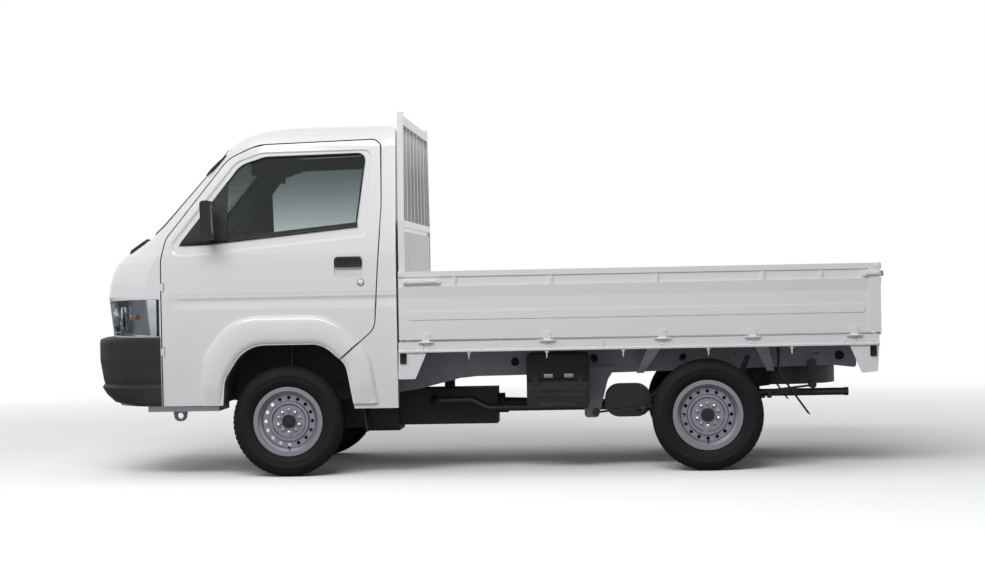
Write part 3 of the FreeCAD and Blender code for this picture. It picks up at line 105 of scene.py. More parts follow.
class Finish:
    """One procedural material under construction."""

    def __init__(self, name):
        self.material = bpy.data.materials.new(name)
        self.material.use_nodes = True
        self.tree = self.material.node_tree
        self.tree.nodes.clear()
        self.place = self.node("TexCoord", {}, {}, "Object")
        self.height = self.node("SeparateXYZ", {}, {"Vector": self.place}, "Z")

    def node(self, kind, settings, sockets, output=0):
        """Adds a node: its settings first, then the values or wires of its sockets."""
        made = self.tree.nodes.new("ShaderNode" + kind)
        for key, value in settings.items():
            setattr(made, key, value)
        for key, value in sockets.items():
            plug(self.tree, value, made.inputs[key])
        return Wire(self.tree, made.outputs[output])

    def noise(self, scale, detail=3.0, roughness=0.5, stretch=(1, 1, 1)):
        vector = self.place
        if stretch != (1, 1, 1):
            vector = self.node("Mapping", {}, {"Vector": self.place, "Scale": stretch})
        sockets = {"Vector": vector, "Scale": scale, "Detail": detail, "Roughness": roughness}
        return self.node("TexNoise", {}, sockets)

    def mixed(self, factor, first, second):
        """Colour between two colours."""
        sockets = {0: factor, 6: first, 7: second}
        return self.node("Mix", {"data_type": "RGBA"}, sockets, 2)

    def between(self, value, low, high, start=0.0, end=1.0):
        """Value moved from low..high to start..end and clamped."""
        sockets = {"Value": value, "From Min": low, "From Max": high, "To Min": start, "To Max": end}
        return self.node("MapRange", {}, sockets)

    def bump(self, height, strength, distance):
        return self.node("Bump", {}, {"Height": height, "Strength": strength, "Distance": distance})

    def end(self, shader):
        output = self.tree.nodes.new("ShaderNodeOutputMaterial")
        plug(self.tree, shader, output.inputs["Surface"])
        return self.material

    def surface(self, **sockets):
        """Ends the material in a Principled shader."""
        named = {key.replace("_", " "): value for key, value in sockets.items()}
        return self.end(self.node("BsdfPrincipled", {}, named))


def rgb(colour):
    return (colour[0], colour[1], colour[2], 1.0)


def shade(colour, factor):
    return (colour[0] * factor, colour[1] * factor, colour[2] * factor, 1.0)


# Finishes

CAB_MIDDLE = (-1.15, 0.0, 1.20)


def cab_inside(f):
    """1 where a surface of the cab looks towards the cab's middle."""
    facing = f.node("TexCoord", {}, {}, "Normal")
    out = f.node("VectorMath", {"operation": "SUBTRACT"}, {0: f.place, 1: CAB_MIDDLE})
    return f.node("VectorMath", {"operation": "DOT_PRODUCT"}, {0: facing, 1: out}, 1) < -0.02


def body_paint(name, colour, roughness=0.3, dust=0.10, lining=None):
    """Gloss paint with faint ripple, and a little road film low down; a cab is lined inside, and the lining is
    painted darker towards the roof as shade.
    """
    f = Finish(name)
    ripple = f.noise(2.4, 2.0)
    film = f.between(f.height, 0.75, 0.3) * f.between(f.noise(9.0, 5.0), 0.35, 0.75) * dust
    tone = f.mixed(ripple, shade(colour, 0.97), shade(colour, 1.0))
    tone = f.mixed(film, tone, (0.42, 0.39, 0.36, 1.0))
    peel = f.noise(260.0, 2.0) * 0.25 + ripple
    rough = f.between(f.noise(5.0, 4.0), 0.2, 0.8, roughness - 0.04, roughness + 0.05) + film * 0.6
    coat = 0.6
    if lining:
        inside = cab_inside(f)
        # Painted shade: the lining darkens to near black towards the roof, where shade falls inside the cab.
        dark = f.mixed(f.between(f.height, 1.58, 1.70), rgb(lining), shade(lining, 0.12))
        tone = f.mixed(inside, tone, dark)
        rough = rough * (1 - inside) + inside * 0.85
        coat = (1 - inside) * 0.6
    return f.surface(
        Base_Color=tone, Roughness=rough, Normal=f.bump(peel, 0.05, 0.0015),
        Coat_Weight=coat, Coat_Roughness=0.06, Specular_IOR_Level=0.5,
    )


def moulded_plastic(name, colour, roughness=0.55, grain=1400.0):
    """Grained moulded plastic, a little paler where it has weathered."""
    f = Finish(name)
    weather = f.between(f.noise(6.0, 5.0, 0.6), 0.35, 0.75)
    tone = f.mixed(weather, rgb(colour), shade(colour, 1.45))
    rough = f.between(f.noise(14.0, 4.0), 0.25, 0.75, roughness - 0.07, roughness + 0.08)
    cells = f.node("TexVoronoi", {}, {"Vector": f.place, "Scale": grain})
    return f.surface(
        Base_Color=tone, Roughness=rough, Specular_IOR_Level=0.25,
        Normal=f.bump(cells, 0.35, 0.0004),
    )


def rubber(name, colour, roughness=0.72):
    f = Finish(name)
    bloom = f.between(f.noise(11.0, 6.0, 0.65), 0.4, 0.75)
    tone = f.mixed(bloom, rgb(colour), shade(colour, 1.7))
    rough = f.between(bloom, 0.0, 1.0, roughness - 0.08, roughness + 0.1)
    return f.surface(
        Base_Color=tone, Roughness=rough, Specular_IOR_Level=0.2,
        Normal=f.bump(f.noise(900.0, 2.0), 0.25, 0.0004),
    )


def metal(name, colour, roughness, metallic=1.0, scratch=0.15, coat=0.0):
    """Bare or painted metal with brushed streaks and dull patches."""
    f = Finish(name)
    patch = f.between(f.noise(7.0, 5.0, 0.6), 0.3, 0.8)
    streak = f.noise(60.0, 3.0, 0.6, (1.0, 1.0, 14.0))
    tone = f.mixed(patch, rgb(colour), shade(colour, 0.82))
    rough = f.between(patch * 0.6 + streak * 0.4, 0.0, 1.0, roughness - 0.08, roughness + 0.12)
    return f.surface(
        Base_Color=tone, Roughness=rough, Metallic=metallic, Coat_Weight=coat,
        Normal=f.bump(streak, scratch, 0.0006),
    )


def chassis_paint(name, colour, roughness=0.5):
    """Dipped chassis paint with runs, thin edges and road film."""
    f = Finish(name)
    runs = f.noise(16.0, 5.0, 0.6, (1.0, 1.0, 0.25))
    film = f.between(f.noise(5.0, 6.0, 0.6), 0.45, 0.8)
    tone = f.mixed(runs, shade(colour, 0.8), shade(colour, 1.2))
    tone = f.mixed(film * 0.14, tone, (0.30, 0.28, 0.26, 1.0))
    rough = f.between(runs * 0.5 + film * 0.5, 0.0, 1.0, roughness - 0.1, roughness + 0.2)
    return f.surface(Base_Color=tone, Roughness=rough, Normal=f.bump(f.noise(120.0, 4.0), 0.2, 0.001))


def tinted_glass(name, tint, shine=0.55, top=None):
    """Thin tinted pane: what is behind shows through, and it mirrors more at a glancing angle; with a top colour,
    painted shade darkens the pane towards its top.
    """
    f = Finish(name)
    film = f.between(f.noise(3.0, 4.0), 0.35, 0.8)
    mirror = f.node("Fresnel", {}, {"IOR": 1.5})
    gloss = f.node("BsdfGlossy", {}, {"Color": (0.95, 1.0, 1.0, 1.0), "Roughness": 0.0})
    clear = f.node("BsdfTransparent", {}, {"Color": rgb(tint)})
    # Painted shade: the see-through tint darkens from the pane's foot to its top.
    if top:
        painted_top_shade = f.node("BsdfTransparent", {}, {"Color": rgb(top)})
        clear = f.node("MixShader", {}, {0: f.between(f.height, 1.22, 1.66), 1: clear, 2: painted_top_shade})
    share = mirror * shine + film * 0.01
    return f.end(f.node("MixShader", {}, {0: share, 1: clear, 2: gloss}))


def lens(name, tint):
    """Coloured lamp lens with moulded prisms inside."""
    f = Finish(name)
    prism = f.node("TexWave", {"bands_direction": "Y"}, {"Vector": f.place, "Scale": 90.0, "Distortion": 0.0})
    return f.surface(
        Base_Color=f.mixed(prism, rgb(tint), shade(tint, 0.7)), Roughness=0.12, Alpha=0.5,
        Coat_Weight=0.8, Normal=f.bump(prism, 0.35, 0.001),
    )


def cloth(name, colour):
    """Woven seat cloth: fine threads in two directions and a mottled nap."""
    f = Finish(name)
    warp = f.node("TexWave", {"bands_direction": "Y"}, {"Vector": f.place, "Scale": 260.0, "Distortion": 0.6})
    weft = f.node("TexWave", {"bands_direction": "X"}, {"Vector": f.place, "Scale": 260.0, "Distortion": 0.6})
    weave = warp * 0.5 + weft * 0.5
    nap = f.noise(40.0, 5.0, 0.6)
    tone = f.mixed(weave * 0.5 + nap * 0.5, shade(colour, 0.7), shade(colour, 1.35))
    return f.surface(
        Base_Color=tone, Roughness=0.9, Sheen_Weight=0.3, Sheen_Roughness=0.5,
        Normal=f.bump(weave, 0.4, 0.0006),
    )


def mirror_silver(name):
    f = Finish(name)
    haze = f.between(f.noise(12.0, 4.0), 0.4, 0.8, 0.03, 0.08)
    return f.surface(Base_Color=(0.86, 0.88, 0.90, 1.0), Metallic=1.0, Roughness=haze)


class TruckColours(bpy.types.PropertyGroup):
    """Paint, plastic and glass colours of the truck."""

    body: bpy.props.FloatVectorProperty(
        name="Body", description="Gloss paint of the cab, the gates and the deck",
        subtype="COLOR", size=3, min=0.0, max=1.0, default=(0.80, 0.80, 0.815),
    )
    plastic: bpy.props.FloatVectorProperty(
        name="Plastic", description="Moulded bumper and mirrors",
        subtype="COLOR", size=3, min=0.0, max=1.0, default=(0.022, 0.022, 0.024),
    )
    chassis: bpy.props.FloatVectorProperty(
        name="Chassis", description="Ladder frame and its brackets",
        subtype="COLOR", size=3, min=0.0, max=1.0, default=(0.30, 0.30, 0.34),
    )
    wheel: bpy.props.FloatVectorProperty(
        name="Wheel", description="Silver paint of the steel wheels",
        subtype="COLOR", size=3, min=0.0, max=1.0, default=(0.33, 0.33, 0.37),
    )
    glass: bpy.props.FloatVectorProperty(
        name="Glass", description="Tint of each face of a window at its foot",
        subtype="COLOR", size=3, min=0.0, max=1.0, default=(0.86, 0.88, 0.88),
    )
    # Painted shade on the windows: the see-through tint at their top, darker than at their foot.
    glass_top_shade: bpy.props.FloatVectorProperty(
        name="Glass top", description="Tint of each face of a window at its top",
        subtype="COLOR", size=3, min=0.0, max=1.0, default=(0.50, 0.54, 0.54),
    )
    seat: bpy.props.FloatVectorProperty(
        name="Seats", description="Seat cloth",
        subtype="COLOR", size=3, min=0.0, max=1.0, default=(0.13, 0.135, 0.15),
    )


class TruckStudio(bpy.types.PropertyGroup):
    """Light levels of the studio."""

    fill: bpy.props.FloatProperty(
        name="Fill", description="Strength of the even light from all round", min=0.0, max=3.0, default=0.75,
    )
    key: bpy.props.FloatProperty(
        name="Key", description="Power of the overhead panel", unit="POWER", min=0.0, max=4000.0, default=30.0,
    )
    front: bpy.props.FloatProperty(
        name="Front", description="Power of the panel beside the camera",
        unit="POWER", min=0.0, max=4000.0, default=450.0,
    )


FINISHES = {}
CAB_LINING = (0.11, 0.118, 0.118)


def make_finishes(colours):
    """All the materials, once."""
    FINISHES.update(
        white=body_paint("body_white", colours.body),
        cab=body_paint("cab_white", colours.body, lining=CAB_LINING),
        inner_white=body_paint("cab_inner_white", shade(colours.body, 0.8)[:3], 0.45, 0.02),
        plastic=moulded_plastic("black_plastic", colours.plastic),
        trim=moulded_plastic("grey_trim", (0.10, 0.105, 0.11), 0.6, 900.0),
        liner=moulded_plastic("headlining", (0.055, 0.06, 0.06), 0.85, 500.0),
        tyre=rubber("tyre_rubber", (0.009, 0.009, 0.0095)),
        seal=rubber("seal_rubber", (0.008, 0.008, 0.009), 0.5),
        wheel=metal("wheel_silver", colours.wheel, 0.38, 0.75, 0.05, 0.3),
        steel=metal("bare_steel", (0.42, 0.41, 0.40), 0.42),
        dark=metal("cast_iron", (0.06, 0.06, 0.062), 0.6, 0.55, 0.3),
        rust=metal("exhaust_steel", (0.085, 0.08, 0.077), 0.45, 0.7, 0.3),
        chrome=metal("bright_chrome", (0.80, 0.81, 0.83), 0.1, 1.0, 0.02),
        chassis=chassis_paint("chassis_grey", colours.chassis),
        black=chassis_paint("chassis_black", (0.018, 0.018, 0.02), 0.42),
        glass=tinted_glass("window_glass", colours.glass, 0.55, colours.glass_top_shade),
        clear=tinted_glass("lamp_clear", (0.90, 0.93, 0.95), 0.8),
        red=lens("lens_red", (0.42, 0.01, 0.012)),
        amber=lens("lens_amber", (0.75, 0.20, 0.01)),
        seat=cloth("seat_cloth", colours.seat),
        mirror=mirror_silver("mirror_silver"),
    )


NODE_FINISHES = {
    "white": ["deck", "headboard", "side_gate_left", "side_gate_right", "tailgate"],
    "cab": ["cab_roof", "cab_front", "cab_back", "cab_side_left", "cab_side_right", "door_left", "door_right"],
    "inner_white": ["cab_floor"],
    "plastic": ["grille", "front_bumper", "door_fittings_left", "door_fittings_right", "wipers", "mudguards",
                "battery_box"],
    "trim": ["dashboard"],
    "seal": ["steering_wheel"],
    "glass": ["cab_glass", "door_glass_left", "door_glass_right"],
    "clear": ["headlamps"],
    "red": ["tail_lamps"],
    "seat": ["seats"],
    "chassis": ["frame_rails", "frame_crossmembers", "tow_eye"],
    "dark": ["engine", "rear_axle", "knuckle_left", "knuckle_right"],
    "rust": ["exhaust"],
    "black": ["leaf_springs", "front_suspension", "fuel_tank", "spare_wheel"],
    "tyre": ["tyre_front_left", "tyre_front_right", "tyre_rear_left", "tyre_rear_right"],
    "wheel": ["rim_front_left", "rim_front_right", "rim_rear_left", "rim_rear_right"],
}


class TRUCK_OT_finishes(bpy.types.Operator):
    """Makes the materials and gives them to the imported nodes"""

    bl_idname = "truck.finishes"
    bl_label = "Finishes"

    def execute(self, context):
        make_finishes(context.scene.truck_colours)
        for finish, names in NODE_FINISHES.items():
            for name in names:
                mesh = NODES[name].data
                mesh.materials.clear()
                mesh.materials.append(FINISHES[finish])
        return {"FINISHED"}


# Modelling helpers

LEFT, RIGHT = -1, 1


def add(primitive, name, **settings):
    """Adds one primitive, alone in the selection, and names it."""
    bpy.ops.object.select_all(action="DESELECT")
    getattr(bpy.ops.mesh, "primitive_" + primitive + "_add")(**settings)
    piece = bpy.context.object
    piece.name = name
    bpy.ops.object.transform_apply(location=True, rotation=True, scale=True)
    return piece


def pick(piece, kind, test):
    """In edit mode, selects the faces or vertices whose middle and normal pass the test."""
    bpy.ops.mesh.select_all(action="DESELECT")
    bpy.ops.mesh.select_mode(type=kind)
    mesh = bmesh.from_edit_mesh(piece.data)
    if kind == "FACE":
        for face in mesh.faces:
            face.select_set(test(face.calc_center_median(), face.normal))
    else:
        for vert in mesh.verts:
            vert.select_set(test(vert.co, vert.normal))
    bmesh.update_edit_mesh(piece.data)


def alone(piece):
    """Makes the piece the only one selected."""
    bpy.ops.object.select_all(action="DESELECT")
    piece.select_set(True)
    bpy.context.view_layer.objects.active = piece


def facing(*way):
    """Test for pick: faces that look a given way."""
    return lambda place, normal: normal.dot(Vector(way)) > 0.95


def edit(piece):
    alone(piece)
    bpy.ops.object.mode_set(mode="EDIT")


def done():
    bpy.ops.object.mode_set(mode="OBJECT")


def everything():
    """Selects the whole piece in edit mode."""
    bpy.ops.mesh.select_all(action="SELECT")


def outward():
    """Selects the whole piece in edit mode and turns its faces outward."""
    everything()
    bpy.ops.mesh.normals_make_consistent(inside=False)


def turned_outward(piece):
    edit(piece)
    outward()
    done()


def merged(piece):
    """Opens the piece in edit mode, merges its doubled points and leaves all of it selected."""
    edit(piece)
    everything()
    bpy.ops.mesh.remove_doubles(threshold=0.0001)


def pressed(piece, test, thickness, depth):
    """Insets the faces that pass the test."""
    edit(piece)
    pick(piece, "FACE", test)
    bpy.ops.mesh.inset(thickness=thickness, depth=depth)
    done()


def drawn(value):
    """Extrudes what is selected by an offset."""
    bpy.ops.mesh.extrude_region_move(TRANSFORM_OT_translate={"value": value})


def modified(piece, kind, **settings):
    """Adds a modifier and applies it at once."""
    alone(piece)
    modifier = piece.modifiers.new(kind.title(), kind)
    for key, value in settings.items():
        setattr(modifier, key, value)
    bpy.ops.object.modifier_apply(modifier=modifier.name)
    return piece


def bevelled(piece, width, segments=2, angle=30):
    return modified(
        piece, "BEVEL", width=width, segments=segments, limit_method="ANGLE", angle_limit=math.radians(angle),
    )


def block(name, low, high, bevel=0.002, segments=2):
    """Block between two corners with rounded edges."""
    middle = [(a + b) / 2 for a, b in zip(low, high)]
    size = [b - a for a, b in zip(low, high)]
    piece = add("cube", name, size=1.0, location=middle, scale=size)
    return bevelled(piece, bevel, segments) if bevel else piece


def lathe(name, rings, centre, direction, steps=48):
    """Circle drawn out ring by ring along an axis; each ring is a radius and a distance."""
    radius, start = rings[0]
    turn = Vector((0, 0, 1)).rotation_difference(Vector(direction)).to_matrix().to_4x4()
    piece = add("circle", name, vertices=steps, radius=radius, location=(0, 0, start), fill_type="NOTHING")
    edit(piece)
    bpy.ops.mesh.select_mode(type="VERT")
    everything()
    for wide, along in rings[1:]:
        drawn((0, 0, along - start))
        factor = wide / radius
        if factor != 1:
            bpy.ops.transform.resize(value=(factor, factor, 1), center_override=(0, 0, along))
        radius, start = wide, along
    everything()
    bpy.ops.mesh.remove_doubles(threshold=0.00001)
    bpy.ops.mesh.select_non_manifold()
    if rings[0] != rings[-1]:
        bpy.ops.mesh.edge_face_add()
    outward()
    done()
    piece.data.transform(Matrix.Translation(centre) @ turn)
    return piece


def rounded(points, steps=6, pitch=None):
    """Closed outline with its corners rounded; a third number is a corner's radius."""
    flat = [Vector(p[:2]) for p in points]
    line = []
    for i, p in enumerate(points):
        radius = p[2] if len(p) > 2 else 0
        if not radius:
            line.append(flat[i])
            continue
        back = (flat[i - 1] - flat[i]).normalized()
        ahead = (flat[(i + 1) % len(flat)] - flat[i]).normalized()
        half = back.angle(ahead) / 2
        centre = flat[i] + (back + ahead).normalized() * (radius / math.sin(half))
        first = flat[i] + back * (radius / math.tan(half)) - centre
        last = flat[i] + ahead * (radius / math.tan(half)) - centre
        for step in range(steps + 1):
            mixed = first.lerp(last, step / steps).normalized() * radius
            line.append(centre + mixed)
    if pitch:
        dense = []
        for i, here in enumerate(line):
            there = line[(i + 1) % len(line)]
            count = max(1, round((there - here).length / pitch))
            dense += [here.lerp(there, step / count) for step in range(count)]
        line = dense
    return line


def outline_face(name, line, place):
    """Flat face with a given outline, its points put in space by the place function."""
    piece = add("circle", name, vertices=len(line), radius=0.1, fill_type="NGON")
    for vertex, point in zip(piece.data.vertices, line):
        vertex.co = place(point.x, point.y)
    piece.data.update()
    return piece


def frame_of(name, line, place, width, thick, bevel):
    """Closed strip of a given width inside an outline, with a thickness."""
    piece = outline_face(name, line, place)
    edit(piece)
    everything()
    bpy.ops.mesh.inset(thickness=width, depth=0, use_even_offset=True)
    bpy.ops.mesh.delete(type="ONLY_FACE")
    done()
    return thickened(piece, thick, bevel, 0.0)


def thickened(piece, thick, bevel=0.0, offset=-1.0):
    """Gives a sheet its thickness: inward at offset -1, to both sides at 0, outward at 1."""
    modified(piece, "SOLIDIFY", thickness=thick, offset=offset, use_even_offset=True)
    return bevelled(piece, bevel, 2, 50) if bevel else piece


def plate(name, line, place, thick, bevel=0.0, offset=-1.0):
    """Flat plate with a given outline."""
    return thickened(outline_face(name, line, place), thick, bevel, offset)


def linked(name, data):
    """New object in the scene."""
    piece = bpy.data.objects.new(name, data)
    bpy.context.scene.collection.objects.link(piece)
    return piece


def rod(name, points, radius):
    """Round bar or pipe through points, as a smooth curve turned to a mesh."""
    curve = bpy.data.curves.new(name, "CURVE")
    curve.dimensions = "3D"
    curve.bevel_depth = radius
    curve.bevel_resolution = 3
    curve.use_fill_caps = True
    curve.resolution_u = 8
    spline = curve.splines.new("NURBS")
    spline.points.add(len(points) - 1)
    for point, place in zip(spline.points, points):
        point.co = (place[0], place[1], place[2], 1.0)
    spline.order_u = 3
    spline.use_endpoint_u = True
    alone(linked(name, curve))
    bpy.ops.object.convert(target="MESH")
    return bpy.context.object


def copies(piece, matrices):
    """The piece's mesh repeated at each matrix, in one object."""
    single = piece.data.copy()
    whole = bmesh.new()
    for matrix in matrices:
        part = single.copy()
        part.transform(matrix)
        if matrix.determinant() < 0:
            part.flip_normals()
        whole.from_mesh(part)
        bpy.data.meshes.remove(part)
    whole.to_mesh(piece.data)
    whole.free()
    bpy.data.meshes.remove(single)
    return piece


def ring_turns(count, centre, axis, start=0.0):
    """Turns that spread copies evenly round an axis."""
    there = Matrix.Translation(centre)
    return [
        there @ Matrix.Rotation(start + 2 * math.pi * i / count, 4, Vector(axis)) @ there.inverted()
        for i in range(count)
    ]


def along(*places):
    """Moves to each of the places."""
    return [Matrix.Translation(place) for place in places]


def joined(name, pieces):
    """Several meshes as one object."""
    alone(pieces[0])
    for piece in pieces[1:]:
        piece.select_set(True)
    bpy.ops.object.join()
    pieces[0].name = name
    return pieces[0]


def twin(piece, name):
    """Copy of a left piece for the right side."""
    other = linked(name, piece.data.copy())
    other.data.transform(Matrix.Diagonal((1, -1, 1, 1)))
    other.data.flip_normals()
    return other


def settle(piece, body, finish, smooth=35):
    """Shading, material and body of a finished piece."""
    alone(piece)
    bpy.ops.object.shade_smooth_by_angle(angle=math.radians(smooth))
    piece.data.materials.clear()
    piece.data.materials.append(FINISHES[finish])
    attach(piece, body)
    return piece


def one_of(name, pieces, body, finish):
    """Joins pieces under one name and settles the whole."""
    return settle(joined(name, pieces), body, finish)


def pair(piece, name, body, finish, smooth=35):
    """A left piece and its mirror image; body names one body, or ends in an underscore."""
    ends = ("left", "right") if body.endswith("_") else ("", "")
    other = twin(piece, name + "_right")
    piece.name = name + "_left"
    settle(piece, body + ends[0], finish, smooth)
    settle(other, body + ends[1], finish, smooth)
    return piece, other


def pair_of(name, pieces, body, finish):
    """Joins left pieces under one name and settles the whole with its mirror image."""
    return pair(joined(name, pieces), name, body, finish)


class Skin:
    """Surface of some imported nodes, so that a fitting sits on what carries it."""

    def __init__(self, *names):
        self.trees = []
        for name in names:
            mesh = NODES[name].data
            places = [v.co.copy() for v in mesh.vertices]
            faces = [tuple(p.vertices) for p in mesh.polygons]
            self.trees.append(BVHTree.FromPolygons(places, faces))

    def hit(self, origin, direction):
        """First point that a ray meets, or None."""
        found = []
        for tree in self.trees:
            place, _, _, distance = tree.ray_cast(Vector(origin), Vector(direction))
            if place is not None:
                found.append((distance, place))
        return min(found, key=lambda f: f[0])[1] if found else None

    def from_left(self, x, z):
        return self.hit((x, -1.5, z), (0, 1, 0))

    def from_front(self, y, z):
        return self.hit((-3.0, y, z), (1, 0, 0))


WAIST_Y, WAIST_Z, WINDOW_LEAN = -0.815, 1.268, 0.1695


def on_window(x, z, out):
    """Point on the left window's plane, a distance outside the cab's skin."""
    return Vector((x, WAIST_Y + (z - WAIST_Z) * WINDOW_LEAN - out, z))


def middle(node):
    """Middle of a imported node's box."""
    low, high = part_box(node)
    return (Vector(low) + Vector(high)) / 2


# Wheels

CORNERS = {
    "front_left": LEFT, "front_right": RIGHT, "rear_left": LEFT, "rear_right": RIGHT,
}
TYRE_RINGS = [
    (0.1665, 0.0560), (0.1840, 0.0570), (0.1880, 0.0625), (0.1960, 0.0690), (0.2060, 0.0740), (0.2130, 0.0762),
    (0.2150, 0.0782), (0.2185, 0.0786), (0.2205, 0.0776), (0.2300, 0.0798), (0.2400, 0.0806), (0.2425, 0.0816),
    (0.2455, 0.0812), (0.2475, 0.0802), (0.2580, 0.0785), (0.2680, 0.0745), (0.2770, 0.0690), (0.2835, 0.0620),
]
TREAD_FLOOR = 0.2842
TREAD_BLOCKS = [(-0.0530, 0.0150), (-0.0275, 0.0190), (0.0, 0.0200), (0.0275, 0.0190), (0.0530, 0.0150)]
TREAD_PITCHES = 64


NUT_RINGS = [
    (0.0130, 0.0), (0.0130, 0.003), (0.0108, 0.005), (0.0105, 0.014), (0.0092, 0.018), (0.0060, 0.0205),
    (0.0020, 0.0215),
]
CAP_RINGS = [
    (0.0355, 0.020), (0.0355, 0.030), (0.0345, 0.047), (0.0320, 0.0495), (0.0250, 0.0500), (0.0235, 0.0485),
    (0.0220, 0.0500), (0.0100, 0.0505), (0.0020, 0.0506),
]
VALVE_RINGS = [
    (0.0060, 0.0), (0.0060, 0.010), (0.0042, 0.013), (0.0042, 0.030), (0.0050, 0.031), (0.0050, 0.039),
    (0.0035, 0.040),
]
RIM_FACE = 0.0200
NUT_CIRCLE = 0.0572


def dressed_tyre(corner, side):
    """Tyre with moulded sidewall rings, four grooves and a block tread."""
    centre = middle("tyre_" + corner)
    inner = [(radius, -along) for radius, along in reversed(TYRE_RINGS)]
    tread = [(TREAD_FLOOR, 0.0585), (TREAD_FLOOR, -0.0585)]
    carcass = lathe("tyre_body", TYRE_RINGS + tread + inner + TYRE_RINGS[:1], centre, (0, side, 0), 96)
    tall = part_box("tyre_" + corner)[1].z - centre.z
    pitch = 2 * math.pi * tall / TREAD_PITCHES
    long = pitch * 0.80
    blocks = []
    for number, (along, wide) in enumerate(TREAD_BLOCKS):
        low = (centre.x - long / 2, centre.y + along - wide / 2, centre.z + TREAD_FLOOR - 0.002)
        high = (centre.x + long / 2, centre.y + along + wide / 2, centre.z + tall - 0.0004)
        tread_block = block("tread_block", low, high, 0.0012, 1)
        edit(tread_block)
        pick(tread_block, "FACE", lambda place, normal: normal.z > 0.9)
        bpy.ops.transform.translate(value=(0.0018 if number % 2 else -0.0018, 0, 0))
        done()
        copies(tread_block, ring_turns(TREAD_PITCHES, centre, (0, 1, 0), pitch * (number % 2)))
        blocks.append(tread_block)
    return joined("tyre_dressed_" + corner, [carcass] + blocks)


class TRUCK_OT_wheels(bpy.types.Operator):
    """Treaded tyres, wheel nuts, hub caps, stamped pads and valves"""

    bl_idname = "truck.wheels"
    bl_label = "Wheels and tyres"

    def execute(self, context):
        for corner, side in CORNERS.items():
            centre = middle("tyre_" + corner)
            body = corner.replace("_", "_wheel_", 1)
            tyre = dressed_tyre(corner, side)
            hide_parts("tyre_" + corner)
            settle(tyre, body, "tyre", smooth=28)
            outward_way = (0, side, 0)
            nuts = lathe("wheel_nuts_" + corner, NUT_RINGS, centre + Vector((0, side * RIM_FACE, NUT_CIRCLE)),
                         outward_way, 12)
            copies(nuts, ring_turns(5, centre, (0, 1, 0), math.radians(36)))
            settle(nuts, body, "chrome", 40)
            low = centre + Vector((-0.010, side * (RIM_FACE - 0.002), 0.047))
            high = centre + Vector((0.010, side * (RIM_FACE + 0.007), 0.068))
            pads = copies(block("wheel_pads_" + corner, low, high, 0.0035), ring_turns(5, centre, (0, 1, 0)))
            settle(pads, body, "wheel")
            settle(lathe("hub_cap_" + corner, CAP_RINGS, centre, outward_way, 40), body, "plastic")
            foot = centre + Vector((0, side * 0.010, -0.150))
            settle(lathe("valve_" + corner, VALVE_RINGS, foot, (0, side * 0.88, 0.35), 12), body, "seal")
        return {"FINISHED"}


# Windows

WINDOW_LINE = [
    (-1.590, 1.226, 0.014), (-1.430, 1.230, 0.300), (-0.645, 1.309, 0.026), (-0.593, 1.702, 0.040),
    (-1.130, 1.692, 0.140), (-1.262, 1.650, 0.120),
]
SCREEN_LINE = [
    (-0.742, 1.292, 0.050), (-0.672, 1.738, 0.060), (0.672, 1.738, 0.060), (0.742, 1.292, 0.050),
]
BACK_LINE = [
    (-0.600, 1.300, 0.050), (-0.560, 1.640, 0.060), (0.560, 1.640, 0.060), (0.600, 1.300, 0.050),
]
WAIST_LINE = [
    (-1.585, 1.228), (-1.430, 1.231), (-0.640, 1.309), (-0.643, 1.333), (-1.430, 1.256), (-1.560, 1.262),
]
BEAD_LINE = [(-1.320, 1.2475), (-0.648, 1.3135), (-0.648, 1.3165), (-1.320, 1.2505)]


class TRUCK_OT_windows(bpy.types.Operator):
    """Rubber seals round the windscreen, the back window and the door glass, and the waist rubbers"""

    bl_idname = "truck.windows"
    bl_label = "Window rubbers"

    def execute(self, context):
        line = rounded(WINDOW_LINE, 8, 0.08)
        seal = frame_of("door_seal", line, lambda x, z: on_window(x, z, -0.0045), 0.0085, 0.006, 0.0012)
        pair(seal, "door_seal", "door_", "seal")
        for name, outline, steps, out, thick, bevel, finish in (
            ("waist_rubber", WAIST_LINE, 3, 0.001, 0.012, 0.002, "seal"),
            ("waist_bead", BEAD_LINE, 2, 0.008, 0.002, 0.0006, "trim"),
        ):
            line = rounded(outline, steps, 0.1)
            strip = plate(name, line, lambda x, z, out=out: on_window(x, z, out), thick, bevel, 0.0)
            pair(strip, name, "door_", finish)
        glass = Skin("cab_glass")
        for name, outline, heading, out in (
            ("windscreen_seal", SCREEN_LINE, 1, 0.006), ("back_window_seal", BACK_LINE, -1, 0.014),
        ):
            def place(y, z, heading=heading, out=out):
                meets = glass.hit((-3.0 * heading, y * 0.985, z * 0.998 + 0.003), (heading, 0, 0))
                return Vector((meets.x - heading * out, y, z)) if meets else Vector((0, y, z))
            ring = frame_of(name, rounded(outline, 6, 0.06), place, 0.020, 0.008, 0.002)
            settle(ring, "truck", "seal")
        return {"FINISHED"}


# Arch liners

LINER_STATIONS = (-0.797, -0.780, -0.700, -0.600, -0.490)


